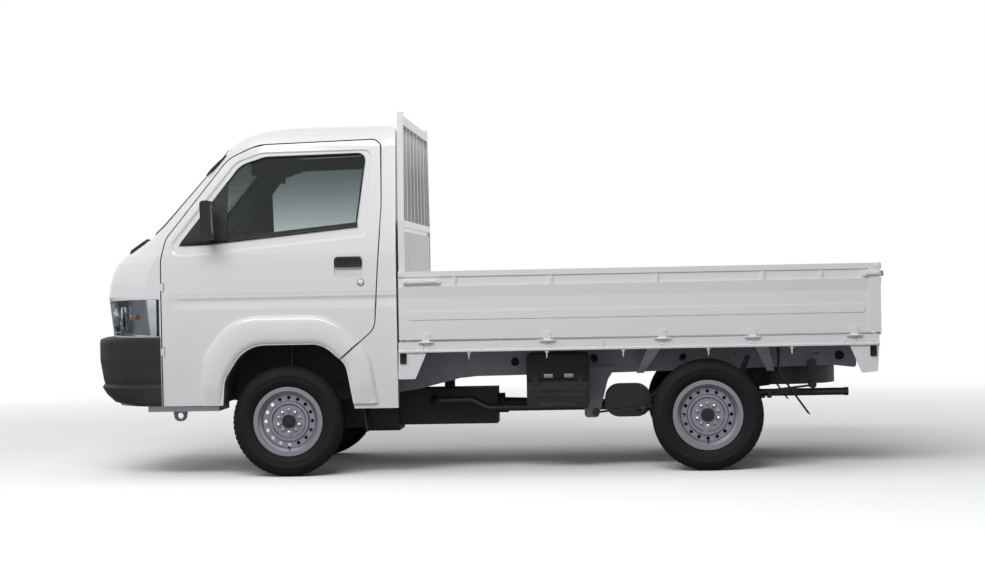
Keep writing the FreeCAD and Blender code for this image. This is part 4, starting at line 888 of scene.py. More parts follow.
class TRUCK_OT_arches(bpy.types.Operator):
    """Black liners inside the front wheel arches"""

    bl_idname = "truck.arches"
    bl_label = "Arch liners"

    def execute(self, context):
        arch = [
            (-1.360, 0.392), (-1.349, 0.520, 0.120), (-1.238, 0.702, 0.190), (-0.838, 0.702, 0.150),
            (-0.717, 0.590, 0.110), (-0.683, 0.392),
        ]
        line = rounded(arch, 8)
        shell = add("plane", "arch_liner", size=0.1)
        mesh = bmesh.new()
        rows = []
        for y in LINER_STATIONS:
            lift = 0.004 if y > -0.790 else 0.0
            rows.append([mesh.verts.new((p.x, y, p.y + lift)) for p in line])
        for first, second in zip(rows, rows[1:]):
            for i in range(len(line) - 1):
                mesh.faces.new((first[i], first[i + 1], second[i + 1], second[i]))
        mesh.to_mesh(shell.data)
        mesh.free()
        turned_outward(shell)
        thickened(shell, 0.003, offset=1.0)
        back = plate("arch_back", line, lambda x, z: Vector((x, -0.487, z)), 0.004, offset=0.0)
        pair_of("arch_liner", [shell, back], "truck", "liner")
        return {"FINISHED"}


# Headlamps

LAMP_Z = 0.850
LAMP_REAR_X = -1.709
DIVIDER_X = -1.914
BOWL_Y = -0.525
BOWL_RINGS = [
    (0.078, -0.030), (0.080, -0.031), (0.080, -0.028), (0.066, -0.010), (0.045, 0.004), (0.020, 0.010),
    (0.004, 0.011),
]
BULB_RINGS = [(0.016, 0.0), (0.018, 0.002), (0.018, 0.018), (0.012, 0.028), (0.003, 0.031)]
INDICATOR_RINGS = [(0.010, 0.0), (0.012, 0.003), (0.016, 0.016), (0.015, 0.026), (0.009, 0.033), (0.002, 0.035)]


class TRUCK_OT_headlamps(bpy.types.Operator):
    """Reflectors, bulbs and dividers behind the clear lenses, with a dark surround"""

    bl_idname = "truck.headlamps"
    bl_label = "Headlamps"

    def execute(self, context):
        edge = linked("lamp_edge", NODES["headlamps"].data.copy())
        cut_by(edge, (LAMP_REAR_X, 0, LAMP_Z), (1, 0, 0), True)
        merged(edge)
        bpy.ops.transform.shrink_fatten(value=0.0008)
        done()
        settle(edge, "truck", "plastic")
        shell = linked("lamp_reflector", NODES["headlamps"].data.copy())
        merged(shell)
        skin = Skin("headlamps")

        def backing(place, normal):
            facing_out = normal.x < -0.25 or normal.y * math.copysign(1, place.y) > 0.25
            return place.y > 0 or not facing_out or abs(normal.z) > 0.6

        pick(shell, "FACE", backing)
        bpy.ops.mesh.delete(type="FACE")
        everything()
        bpy.ops.transform.shrink_fatten(value=-0.034)
        done()
        reflector = thickened(shell, 0.002, offset=1.0)
        pair(reflector, "lamp_reflector", "truck", "chrome")
        bowl_x = skin.from_front(-0.600, LAMP_Z).x + 0.042
        lamps = (
            ("lamp_bowl", BOWL_RINGS, (bowl_x, BOWL_Y, LAMP_Z), (1, 0, 0), 40, "chrome"),
            ("lamp_bulb", BULB_RINGS, (bowl_x + 0.003, BOWL_Y, LAMP_Z), (-1, 0, 0), 20, "clear"),
            ("indicator_bulb", INDICATOR_RINGS, (-1.838, -0.778, 0.852), (-0.25, -1.0, 0.1), 20, "amber"),
        )
        for name, rings, place, way, steps, finish in lamps:
            pair(lathe(name, rings, place, way, steps), name, "truck", finish)
        lens_y = skin.from_left(DIVIDER_X, LAMP_Z).y
        low, high = (DIVIDER_X - 0.004, lens_y + 0.018, 0.790), (DIVIDER_X + 0.004, -0.700, 0.908)
        pair(block("lamp_divider", low, high, 0.002), "lamp_divider", "truck", "chrome")
        return {"FINISHED"}


# Flares, handles, locks and mirrors

CAB_SIDE = -0.837
FLARE_STEPS = 90
FLARE_SHARES = [0.0, 0.06, 0.16, 0.32, 0.52, 0.76, 0.92, 1.0]
FLARE_PROUD = [-0.001, 0.010, 0.0155, 0.019, 0.0205, 0.0205, 0.0180, -0.002]
LOCK_PLACE = (-0.626, CAB_SIDE, 1.017)
LOCK_RINGS = [
    (0.0165, -0.003), (0.0165, 0.0015), (0.0150, 0.0028), (0.0125, 0.0030), (0.0115, 0.0012),
    (0.0105, 0.0012), (0.0095, 0.0026), (0.0030, 0.0028),
]
LOCK_RING_RINGS = [(0.0165, -0.002), (0.0195, -0.002), (0.0190, 0.0012), (0.0168, 0.0014), (0.0165, -0.002)]


def part_way(line, share):
    """Point a share of the way along a line."""
    lengths = [0.0]
    for a, b in zip(line, line[1:]):
        lengths.append(lengths[-1] + (b - a).length)
    want = share * lengths[-1]
    for i in range(1, len(line)):
        if want <= lengths[i] + 1e-9:
            part = (want - lengths[i - 1]) / max(lengths[i] - lengths[i - 1], 1e-9)
            return line[i - 1].lerp(line[i], part)
    return line[-1]


def flare_band():
    """Rounded moulding round the left wheel arch, from the arch's edge to the flare's."""
    arch = rounded([
        (-1.368, 0.386), (-1.352, 0.520, 0.120), (-1.240, 0.697, 0.190), (-0.835, 0.697, 0.150),
        (-0.712, 0.590, 0.110), (-0.676, 0.386),
    ], 10)
    outer = rounded([
        (-1.486, 0.386), (-1.467, 0.646, 0.180), (-1.316, 0.853, 0.270), (-0.784, 0.853, 0.270),
        (-0.585, 0.646, 0.180), (-0.546, 0.386),
    ], 10)
    across = len(FLARE_SHARES) - 1
    piece = add("grid", "arch_flare", x_subdivisions=FLARE_STEPS, y_subdivisions=across, size=1.0)
    rows = sorted({round(v.co.y, 5) for v in piece.data.vertices})
    columns = sorted({round(v.co.x, 5) for v in piece.data.vertices})
    for vertex in piece.data.vertices:
        row = rows.index(round(vertex.co.y, 5))
        step = columns.index(round(vertex.co.x, 5)) / (len(columns) - 1)
        place = part_way(outer, step).lerp(part_way(arch, step), FLARE_SHARES[row])
        ends = min(1.0, (place.y - 0.380) / 0.10)
        vertex.co = (place.x, CAB_SIDE - FLARE_PROUD[row] * (0.35 + 0.65 * ends), place.y)
    piece.data.update()
    return piece


def cut_by(piece, point, normal, keep_front):
    """Keeps what lies on one side of a plane."""
    edit(piece)
    bpy.ops.mesh.select_mode(type="VERT")
    everything()
    bpy.ops.mesh.bisect(
        plane_co=point, plane_no=normal, clear_inner=keep_front, clear_outer=not keep_front,
    )
    done()


class TRUCK_OT_flares(bpy.types.Operator):
    """Rounded flares over the front arches, split where the doors shut"""

    bl_idname = "truck.flares"
    bl_label = "Arch flares"

    def execute(self, context):
        normal = Vector((0.159, 0, -0.186)).normalized()
        for part, point, keep, body in (
            ("door", (-0.6565, -0.8, 0.6945), False, "door_"),
            ("sill", (-0.6495, -0.8, 0.6865), True, "truck"),
        ):
            band = flare_band()
            cut_by(band, point, normal, keep)
            if part == "sill":
                cut_by(band, (-1.0, -0.8, 0.5), (1, 0, 0), True)
            turned_outward(band)
            if sum(polygon.normal.y for polygon in band.data.polygons) > 0:
                band.data.flip_normals()
            thickened(band, 0.0025)
            pair(band, "arch_flare_" + part, body, "white", smooth=60)
        return {"FINISHED"}


class TRUCK_OT_door_fittings(bpy.types.Operator):
    """Pull handles, locks with their rings, and the mirrors' glasses"""

    bl_idname = "truck.door_fittings"
    bl_label = "Door fittings"

    def execute(self, context):
        flap_line = rounded([
            (-0.762, 1.099, 0.010), (-0.765, 1.152, 0.022), (-0.617, 1.152, 0.022), (-0.620, 1.099, 0.010),
        ], 6)
        flap = outline_face("handle", flap_line, lambda x, z: Vector((x, CAB_SIDE + 0.004, z)))
        edit(flap)
        everything()
        drawn((0, -0.010, 0))
        bpy.ops.mesh.inset(thickness=0.006, depth=0)
        bpy.ops.transform.translate(value=(0, -0.0025, 0))
        bpy.ops.mesh.inset(thickness=0.006, depth=0)
        bpy.ops.transform.translate(value=(0, 0.0020, 0))
        outward()
        done()
        bevelled(flap, 0.0015, 2, 40)
        pair(flap, "door_handle", "door_", "plastic")
        lock = lathe("door_lock", LOCK_RINGS, LOCK_PLACE, (0, -1, 0), 28)
        slot = block("slot", (-0.6270, -0.8412, 1.0110), (-0.6250, -0.8395, 1.0230), 0.0004)
        pair_of("door_lock", [lock, slot], "door_", "chrome")
        ring = lathe("lock_ring", LOCK_RING_RINGS, LOCK_PLACE, (0, -1, 0), 28)
        pair(ring, "lock_ring", "door_", "seal")
        glass_line = rounded([
            (-0.990, 1.268, 0.016), (-0.990, 1.442, 0.022), (-0.882, 1.442, 0.022), (-0.882, 1.268, 0.016),
        ], 6)
        face = plate("mirror", glass_line, lambda y, z: Vector((-1.3795 - (z - 1.253) * 0.0245, y, z)),
                     0.002, 0.0008)
        pair(face, "mirror_glass", "door_", "mirror")
        return {"FINISHED"}


# Shoulder line

CREASE_PROFILE = [(0.9712, 0.0008), (0.9300, -0.0060), (0.8820, 0.0008)]
CREASE_SIDE = -0.8378


def crease_strip(start, end, taper):
    """White strip that turns the groove along the door into a soft valley; it can fade in at its front."""
    piece = add("grid", "crease", x_subdivisions=24, y_subdivisions=8, size=1.0)
    top, valley, foot = CREASE_PROFILE
    for vertex in piece.data.vertices:
        height = foot[0] + (top[0] - foot[0]) * (vertex.co.y + 0.5)
        if height > valley[0]:
            out = valley[1] + (top[1] - valley[1]) * (height - valley[0]) / (top[0] - valley[0])
        else:
            out = foot[1] + (valley[1] - foot[1]) * (height - foot[0]) / (valley[0] - foot[0])
        share = vertex.co.x + 0.5
        depth = min(1.0, share * 16) if taper else 1.0
        vertex.co = (start + (end - start) * share, CREASE_SIDE - (out - top[1]) * depth, height)
    piece.data.update()
    if sum(polygon.normal.y for polygon in piece.data.polygons) > 0:
        piece.data.flip_normals()
    return thickened(piece, 0.0008)


class TRUCK_OT_crease(bpy.types.Operator):
    """Soft shoulder line along the doors and the cab's rear corners"""

    bl_idname = "truck.crease"
    bl_label = "Shoulder line"

    def execute(self, context):
        pair(crease_strip(-1.6395, -0.5545, True), "crease_door", "door_", "white", smooth=50)
        pair(crease_strip(-0.5405, -0.4405, False), "crease_side", "truck", "white", smooth=50)
        return {"FINISHED"}


# Load bed

RAIL_FACE = -0.860
GATE_FACE = -0.872
HOOK_X = (-0.063, 0.343, 0.740, 1.180, 1.610)
HOOK_PATH = [
    (0.004, 0.650), (-0.002, 0.634), (-0.001, 0.614), (-0.010, 0.606), (-0.019, 0.611), (-0.020, 0.622),
]
LIP_LINE = [(-0.001, 0.0, 0.002), (0.0, 0.012, 0.005), (-0.008, 0.016, 0.003), (-0.012, 0.0)]
LIP_START, LIP_LENGTH = -0.428, 2.49
LIP_SIDE, LIP_FOOT = RAIL_FACE - 0.0125, 0.6445
BRACKET_RUBBER_X = (-0.4235, 2.0110)
RAIL_BOLT_X = (-0.385, -0.110, 0.560, 0.940, 1.400, 1.880, 2.030)
SEAM_X = (-0.300, 0.640, 1.940)
BUFFER_RINGS = [(0.010, 0.0), (0.014, 0.003), (0.016, 0.012), (0.016, 0.028), (0.012, 0.036), (0.003, 0.038)]
BUFFER_SETBACK = 0.052
PIVOT_RINGS = [(0.013, 0.0), (0.013, 0.004), (0.010, 0.007), (0.009, 0.010), (0.003, 0.0105)]


def bolts(name, places, direction, size):
    """Hexagon heads at all the places."""
    rings = [(size * 1.7, 0.0), (size * 1.7, size * 0.25), (size * 1.15, size * 0.26), (size * 1.1, size * 1.1),
             (size * 0.8, size * 1.3), (size * 0.2, size * 1.32)]
    return copies(lathe(name, rings, (0, 0, 0), direction, 6), along(*places))


class TRUCK_OT_load_bed(bpy.types.Operator):
    """Rope hooks, rail lip, bracket rubbers, tail buffers, bolts and seams of the load bed"""

    bl_idname = "truck.load_bed"
    bl_label = "Load bed fittings"

    def execute(self, context):
        hook = rod("hook", [(0, RAIL_FACE + y, z) for y, z in HOOK_PATH], 0.0035)
        foot = block("foot", (-0.010, RAIL_FACE - 0.0035, 0.634), (0.010, RAIL_FACE + 0.001, 0.655), 0.0015)
        hooks = copies(joined("rope_hooks", [hook, foot]), along(*[(x, 0, 0) for x in HOOK_X]))
        pair(hooks, "rope_hooks", "truck", "white")
        line = rounded(LIP_LINE, 4)
        lip = plate("rail_lip", line, lambda y, z: Vector((LIP_START, LIP_SIDE - y, LIP_FOOT + z)), LIP_LENGTH,
                    offset=0.0)
        lip.data.transform(Matrix.Translation((LIP_START - min(v.co.x for v in lip.data.vertices), 0, 0)))
        pair(lip, "rail_lip", "truck", "white")
        rubbers = []
        for x in BRACKET_RUBBER_X:
            low, high = (x, RAIL_FACE - 0.011, 0.5870), (x + 0.034, RAIL_FACE + 0.001, 0.5870 + 0.054)
            rubbers.append(block("rubber", low, high, 0.005, 3))
            pressed(rubbers[-1], facing(0, -1, 0), 0.006, -0.003)
        pair_of("bracket_rubbers", rubbers, "truck", "seal")
        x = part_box("deck")[1].x - BUFFER_SETBACK
        buffer = lathe("tail_buffer", BUFFER_RINGS, (x, -0.640, 0.581), (1, 0, 0), 20)
        bracket = block("buffer_foot", (x - 0.018, -0.665, 0.565), (x + 0.002, -0.615, 0.655), 0.003)
        pair_of("tail_buffer", [buffer, bracket], "truck", "seal")
        floor_places = [(-0.36 + 0.40 * i, y, 0.7000) for i in range(7) for y in (-0.72, -0.24, 0.24, 0.72)]
        settle(bolts("floor_bolts", floor_places, (0, 0, 1), 0.0048), "truck", "steel", smooth=40)
        rail_places = [(x, RAIL_FACE, 0.668) for x in RAIL_BOLT_X]
        pair(bolts("bolt", rail_places, (0, -1, 0), 0.004), "rail_bolts", "truck", "white", smooth=40)
        seams = [
            block("seam", (x, RAIL_FACE - 0.0008, 0.646), (x + 0.0015, RAIL_FACE + 0.002, 0.690), 0.0)
            for x in SEAM_X
        ]
        pair_of("rail_seams", seams, "truck", "seal")
        return {"FINISHED"}


class TRUCK_OT_gates(bpy.types.Operator):
    """Gate latches with their pivots, corner caps and the tailgate's catches"""

    bl_idname = "truck.gates"
    bl_label = "Gates"

    def execute(self, context):
        root = GATE_FACE - 0.008
        for name, x, long in (("front", -0.392, 0.170), ("rear", 2.000, 0.060)):
            line = rounded([
                (x - 0.008, 1.003, 0.008), (x - 0.008, 1.026, 0.008), (x + long * 0.55, 1.025, 0.02),
                (x + long, 1.019, 0.006), (x + long, 1.007, 0.006), (x + long * 0.55, 1.006, 0.02),
            ], 5)
            lever = outline_face("lever", line, lambda a, z: Vector((a, root, z)))
            edit(lever)
            everything()
            drawn((0, -0.003, 0))
            bpy.ops.mesh.inset(thickness=0.003, depth=0)
            bpy.ops.transform.translate(value=(0, -0.003, 0))
            outward()
            done()
            pivot = lathe("pivot", PIVOT_RINGS, (x + 0.004, root, 1.0145), (0, -1, 0), 18)
            pair_of("latch_" + name, [lever, pivot], "side_gate_", "white")
        low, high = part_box("side_gate_left")
        caps = [
            block("cap", (x, GATE_FACE - 0.0012, 1.0405), (x + 0.032, GATE_FACE + 0.0272, 1.0692), 0.0015)
            for x in (low.x + 0.0005, high.x - 0.0325)
        ]
        pair_of("gate_caps", caps, "side_gate_", "white")
        low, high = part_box("tailgate")
        catches = []
        for y in (low.y + 0.045, high.y - 0.125):
            start, end = (high.x - 0.0145, y, 0.9980), (high.x - 0.0035, y + 0.080, 1.0280)
            catches.append(block("catch", start, end, 0.003))
            pressed(catches[-1], facing(1, 0, 0), 0.006, 0.003)
        one_of("tailgate_catches", catches, "tailgate", "white")
        return {"FINISHED"}


# Tail lamps

LENS_SPANS = (("amber", -0.784, -0.712), ("red", -0.709, -0.632), ("clear", -0.629, -0.566))


class TRUCK_OT_tail_lamps(bpy.types.Operator):
    """Lamp clusters in black trays, each with an amber, a red and a clear lens"""

    bl_idname = "truck.tail_lamps"
    bl_label = "Tail lamps"

    def execute(self, context):
        low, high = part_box("tail_lamps")
        rear = high.x
        tray = block("tail_tray", (low.x, -0.790, 0.560), (rear - 0.012, -0.560, 0.640), 0.006, 3)
        pressed(tray, facing(1, 0, 0), 0.004, -0.006)
        hanger = block("hanger", (low.x, -0.790, 0.630), (low.x + 0.004, -0.560, high.z), 0.001)
        for piece in pair_of("tail_tray", [tray, hanger], "truck", "plastic"):
            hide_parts("tail_lamps")
        for finish, start, end in LENS_SPANS:
            part = block("tail_lens", (rear - 0.020, start, 0.567), (rear - 0.002, end, 0.633), 0.004, 3)
            pressed(part, facing(1, 0, 0), 0.005, 0.0015)
            pair(part, "tail_lens_" + finish, "truck", finish)
        return {"FINISHED"}


# Seats

CUSHION_LINE = [(-1.258, 0.782, 0.02), (-1.258, 0.888, 0.045), (-0.812, 0.870, 0.03), (-0.812, 0.782, 0.02)]
BACK_REST_LINE = [(-0.778, 0.838, 0.03), (-0.690, 1.286, 0.045), (-0.606, 1.286, 0.045), (-0.652, 0.838, 0.02)]
SEAT_SIDES = (-0.628, -0.162)
SIDE_SEAMS = (-0.535, -0.255)
SEAM_WIDTH = 0.006
PRESSURE = 4.0
CAP = 0.022
SWELL_FRAMES = 20


def swollen(piece):
    """Cloth blown up a little from inside, each point kept within a cap."""
    modified(piece, "REMESH", mode="VOXEL", voxel_size=0.006)
    rest = [v.co.copy() for v in piece.data.vertices]
    cloth_work = piece.modifiers.new("Cloth", "CLOTH")
    cloth_work.settings.use_pressure = True
    cloth_work.settings.uniform_pressure_force = PRESSURE
    cloth_work.settings.effector_weights.gravity = 0.0
    cloth_work.point_cache.frame_end = SWELL_FRAMES
    for frame_number in range(1, SWELL_FRAMES + 1):
        bpy.context.scene.frame_set(frame_number)
    edit(piece)
    done()
    bpy.ops.object.modifier_apply(modifier=cloth_work.name)
    bpy.context.scene.frame_set(1)
    for vertex, start in zip(piece.data.vertices, rest):
        moved = vertex.co - start
        if moved.length > CAP:
            vertex.co = start + moved.normalized() * CAP


def sewn(piece, low, high, out):
    """Presses sewn channels into the face that is sat on."""
    for vertex in piece.data.vertices:
        place = vertex.co
        for seam in SIDE_SEAMS:
            near = math.exp(-((place.y - seam) / SEAM_WIDTH) ** 2)
            vertex.co = vertex.co + out * (-0.007 * near)
        for quarter in (1, 2, 3):
            across = low.lerp(high, quarter / 4)
            reach = (place - across).dot((high - low).normalized())
            if SIDE_SEAMS[0] < place.y < SIDE_SEAMS[1]:
                vertex.co = vertex.co + out * (-0.005 * math.exp(-(reach / SEAM_WIDTH) ** 2))


def cushion(name, line, low, high, out, box_low, box_high):
    """Padded cushion: a rounded form, swollen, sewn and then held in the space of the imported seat."""
    pad = outline_face(name, rounded(line, 5), lambda x, z: Vector((x, SEAT_SIDES[0], z)))
    edit(pad)
    everything()
    drawn((0, SEAT_SIDES[1] - SEAT_SIDES[0], 0))
    outward()
    done()
    bevelled(pad, 0.028, 4, 50)
    swollen(pad)
    sewn(pad, Vector(low), Vector(high), Vector(out))
    for vertex in pad.data.vertices:
        vertex.co = [min(max(c, a), b) for c, a, b in zip(vertex.co, box_low, box_high)]
    modified(pad, "SUBSURF", levels=1, render_levels=1)
    pad.data.update()
    return pad


class TRUCK_OT_seats(bpy.types.Operator):
    """Two padded seats with sewn channels, on frames"""

    bl_idname = "truck.seats"
    bl_label = "Seats"

    def execute(self, context):
        low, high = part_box("seats")
        floor = low.z + 0.0005
        pads = [
            cushion(
                "seat_cushion", CUSHION_LINE, (-1.258, 0, 0.885), (-0.812, 0, 0.870), (0, 0, 1),
                (low.x, -0.640, floor), (-0.8000, -0.150, 0.9020),
            ),
            cushion(
                "seat_back", BACK_REST_LINE, (-0.778, 0, 0.838), (-0.690, 0, 1.286), (-1, 0, 0.15),
                (-0.7960, -0.640, 0.8150), (high.x, -0.150, high.z),
            ),
        ]
        for pad in pads:
            for piece in pair(pad, pad.name, "truck", "seat", smooth=60):
                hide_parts("seats")
        rail = block("rail", (-0.798, -0.600, floor), (-0.645, -0.190, 0.8120), 0.006)
        hinge_rings = [(0.030, 0.0), (0.032, 0.003), (0.032, 0.012), (0.012, 0.015)]
        hinge = lathe("hinge", hinge_rings, (-0.79, -0.600, 0.835), (0, -1, 0))
        for piece in pair_of("seat_frames", [rail, hinge], "truck", "plastic"):
            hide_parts("seats")
        return {"FINISHED"}


# Cabin

COLUMN_LEAN = math.radians(35)
STEERING_X, STEERING_Z = -1.395, 1.125
VENT_SIDES = (-0.655, -0.075, 0.075, 0.655)
PEDAL_SIDES = (0.290, 0.390, 0.480)
STRAP_THICK = 0.0014


def strap(name, points, across, wide):
    """Flat strap along points, drawn out step by step."""
    piece = add("plane", name, size=1.0)
    side = Vector(across) * (wide / 2)
    corners = [Vector(point) + turn * side for point in points[:2] for turn in (-1, 1)]
    for vertex, place in zip(piece.data.vertices, corners):
        vertex.co = place
    edit(piece)
    last = Vector(points[1])
    pick(piece, "VERT", lambda place, normal: (place - last).length < wide * 0.6)
    for point in points[2:]:
        bpy.ops.mesh.extrude_edges_move(TRANSFORM_OT_translate={"value": Vector(point) - last})
        last = Vector(point)
    done()
    return thickened(piece, STRAP_THICK, offset=0.0)


class TRUCK_OT_steering_wheel(bpy.types.Operator):
    """Steering wheel with a padded hub and three spokes"""

    bl_idname = "truck.steering_wheel"
    bl_label = "Steering wheel"

    def execute(self, context):
        low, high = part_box("steering_wheel")
        centre = Vector((STEERING_X, (low.y + high.y) / 2, STEERING_Z))
        axis = Vector((math.sin(COLUMN_LEAN), 0, math.cos(COLUMN_LEAN)))
        lower = Vector((axis.z, 0, -axis.x))
        rim = add("torus", "rim", major_segments=72, minor_segments=12, major_radius=0.185, minor_radius=0.0142,
                  location=centre, rotation=(0, COLUMN_LEAN, 0))
        hub_rings = [(0.043, -0.053), (0.044, -0.020), (0.044, -0.012), (0.040, -0.005), (0.024, -0.002),
                     (0.003, -0.001)]
        pieces = [rim, lathe("hub", hub_rings, centre, axis, 36)]
        for way in (Vector((0, 1, 0)), Vector((0, -1, 0)), lower):
            path = [centre + way * out - axis * sunk for out, sunk in ((0.036, 0.006), (0.11, 0.003), (0.182, 0))]
            pieces.append(rod("spoke", path, 0.0095))
        wheel = joined("steering_wheel_dressed", pieces)
        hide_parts("steering_wheel")
        settle(wheel, "steering_wheel", "trim", smooth=50)
        return {"FINISHED"}


class TRUCK_OT_dash_fittings(bpy.types.Operator):
    """Hood over the instruments, air vents with fins, radio and knobs"""

    bl_idname = "truck.dash_fittings"
    bl_label = "Dashboard fittings"

    def execute(self, context):
        hood = block("hood", (-1.720, 0.225, 1.2480), (-1.600, 0.515, 1.3050), 0.022, 4)
        pressed(hood, facing(1, 0, 0), 0.010, -0.030)
        settle(hood, "truck", "trim")
        dash = Skin("dashboard")
        vents = []
        for y in VENT_SIDES:
            face = dash.hit((-1.0, y, 1.150), (-1, 0, 0))
            vent = block("vent", (face.x - 0.004, y - 0.052, 1.125), (face.x + 0.006, y + 0.052, 1.175), 0.004)
            fins = block("fin", (face.x + 0.002, y - 0.046, 1.1300), (face.x + 0.009, y + 0.046, 1.1325), 0.0)
            copies(fins, along(*[(0, 0, 0.010 * i) for i in range(5)]))
            vents += [vent, fins]
        one_of("dash_vents", vents, "truck", "plastic")
        face = dash.hit((-1.0, 0.0, 1.085), (-1, 0, 0))
        radio = block("radio", (face.x - 0.006, -0.092, 1.060), (face.x + 0.006, 0.092, 1.110), 0.003)
        knob_rings = [(0.011, 0.0), (0.011, 0.012), (0.009, 0.014), (0.002, 0.0145)]
        knobs = lathe("knob", knob_rings, (face.x + 0.005, 0, 1.085), (1, 0, 0), 16)
        copies(knobs, along((0, -0.07, 0), (0, 0.07, 0), (0, 0, -0.040), (0, -0.05, -0.040), (0, 0.05, -0.040)))
        one_of("dash_controls", [radio, knobs], "truck", "plastic")
        return {"FINISHED"}


class TRUCK_OT_controls(bpy.types.Operator):
    """Gear lever with its boot, and three pedals"""

    bl_idname = "truck.controls"
    bl_label = "Lever and pedals"

    def execute(self, context):
        lever = rod("lever", [(-1.455, 0.010, 0.500), (-1.450, 0.010, 0.700), (-1.400, 0.010, 0.880)], 0.0065)
        knob_rings = [(0.008, 0.0), (0.019, 0.010), (0.024, 0.028), (0.020, 0.044), (0.004, 0.050)]
        knob = lathe("knob", knob_rings, (-1.404, 0.010, 0.868), (0.35, 0, 1.0), 24)
        boot_rings = [(0.055, 0.0), (0.050, 0.010), (0.036, 0.035), (0.028, 0.050), (0.018, 0.085),
                      (0.008, 0.100)]
        boot = lathe("boot", boot_rings, (-1.455, 0.010, 0.5002), (0, 0, 1), 24)
        one_of("gear_lever", [lever, knob, boot], "truck", "seal")
        pedals = []
        for y in PEDAL_SIDES:
            pedals.append(rod("arm", [(-1.800, y, 0.900), (-1.745, y, 0.760), (-1.700, y, 0.655)], 0.006))
            pedals.append(block("pad", (-1.706, y - 0.026, 0.622), (-1.692, y + 0.026, 0.682), 0.004))
        one_of("pedals", pedals, "truck", "seal")
        return {"FINISHED"}


class TRUCK_OT_roof_fittings(bpy.types.Operator):
    """Inner mirror, sun visors, grab handles and seat belts"""

    bl_idname = "truck.roof_fittings"
    bl_label = "Mirror, visors, handles and belts"

    def execute(self, context):
        roof = Skin("cab_roof", "cab_front", "cab_glass", "cab_side_left", "cab_side_right")
        header = roof.hit((-1.290, 0.0, 1.500), (0, 0, 1))
        stem_path = [header + Vector(p) for p in ((0.0, 0, 0.002), (0.010, 0, -0.045), (0.030, 0, -0.075))]
        stem = rod("stem", stem_path, 0.006)
        low, high = header + Vector((0.028, -0.115, -0.110)), header + Vector((0.050, 0.115, -0.048))
        one_of("inner_mirror", [stem, block("mirror", low, high, 0.010, 3)], "truck", "plastic")
        visor = block("visor", (-1.262, -0.580, 1.690), (-1.248, -0.190, 1.800), 0.006, 3)
        top = roof.hit((-1.250, -0.400, 1.500), (0, 0, 1))
        visor.data.transform(Matrix.Translation((0.028, 0, top.z - 1.806 - 0.022)))
        pair(visor, "sun_visor", "truck", "liner")
        for name, start, end in (
            ("front", (-1.560, 1.330), (-1.415, 1.500)), ("roof", (-1.130, 1.725), (-0.890, 1.735)),
        ):
            points = []
            for x, z, out in (
                (start[0], start[1], 0.002), (start[0] + 0.010, start[1] + 0.012, 0.030),
                (end[0] - 0.010, end[1] - 0.012, 0.030), (end[0], end[1], 0.002),
            ):
                wall = roof.hit((x, -0.3, z), (0, -1, 0)) or Vector((x, -0.72, z))
                points.append(wall + Vector((0, out, 0)))
            pair(rod("grab", points, 0.009), "grab_handle_" + name, "truck", "plastic")
        anchor = roof.hit((-0.600, -0.3, 1.500), (0, -1, 0)) or Vector((-0.6, -0.75, 1.5))
        belt_path = [(-0.585, anchor.y + 0.012, 1.500), (-0.590, -0.742, 1.150), (-0.600, -0.735, 0.880),
                     (-0.610, -0.735, 0.775)]
        belt = strap("belt", belt_path, (1, 0, 0), 0.046)
        loop = block("loop", (-0.620, anchor.y + 0.004, 1.480), (-0.560, anchor.y + 0.018, 1.512), 0.004)
        pair_of("seat_belt", [belt, loop], "truck", "liner")
        return {"FINISHED"}


class TRUCK_OT_door_cards(bpy.types.Operator):
    """Door cards with arm rests, window cranks and openers"""

    bl_idname = "truck.door_cards"
    bl_label = "Door cards"

    def execute(self, context):
        wall = Skin("door_left").hit((-1.100, -0.300, 0.950), (0, -1, 0)).y
        line = rounded([
            (-1.600, 0.760, 0.03), (-1.600, 1.160, 0.05), (-0.640, 1.215, 0.05), (-0.640, 0.760, 0.05),
        ], 5)
        card = plate("card", line, lambda x, z: Vector((x, wall + 0.0035, z)), 0.003, 0.001)
        rest = block("rest", (-1.180, wall + 0.004, 0.985), (-0.820, wall + 0.052, 1.020), 0.012, 3)
        arm_path = [(-1.300, wall + 0.004, 0.985), (-1.300, wall + 0.018, 0.985), (-1.260, wall + 0.022, 1.055)]
        arm = rod("crank", arm_path, 0.007)
        knob_rings = [(0.012, 0.0), (0.013, 0.020), (0.004, 0.024)]
        knob = lathe("crank_knob", knob_rings, (-1.260, wall + 0.020, 1.055), (0, 1, 0), 16)
        opener = block("opener", (-1.420, wall + 0.004, 1.085), (-1.330, wall + 0.018, 1.115), 0.004)
        pair_of("door_card", [card, rest, arm, knob, opener], "door_", "trim")
        return {"FINISHED"}


# Wipers and aerial

AERIAL_FOOT = 1.560
WIPER_PIVOTS = (-0.503, 0.060)


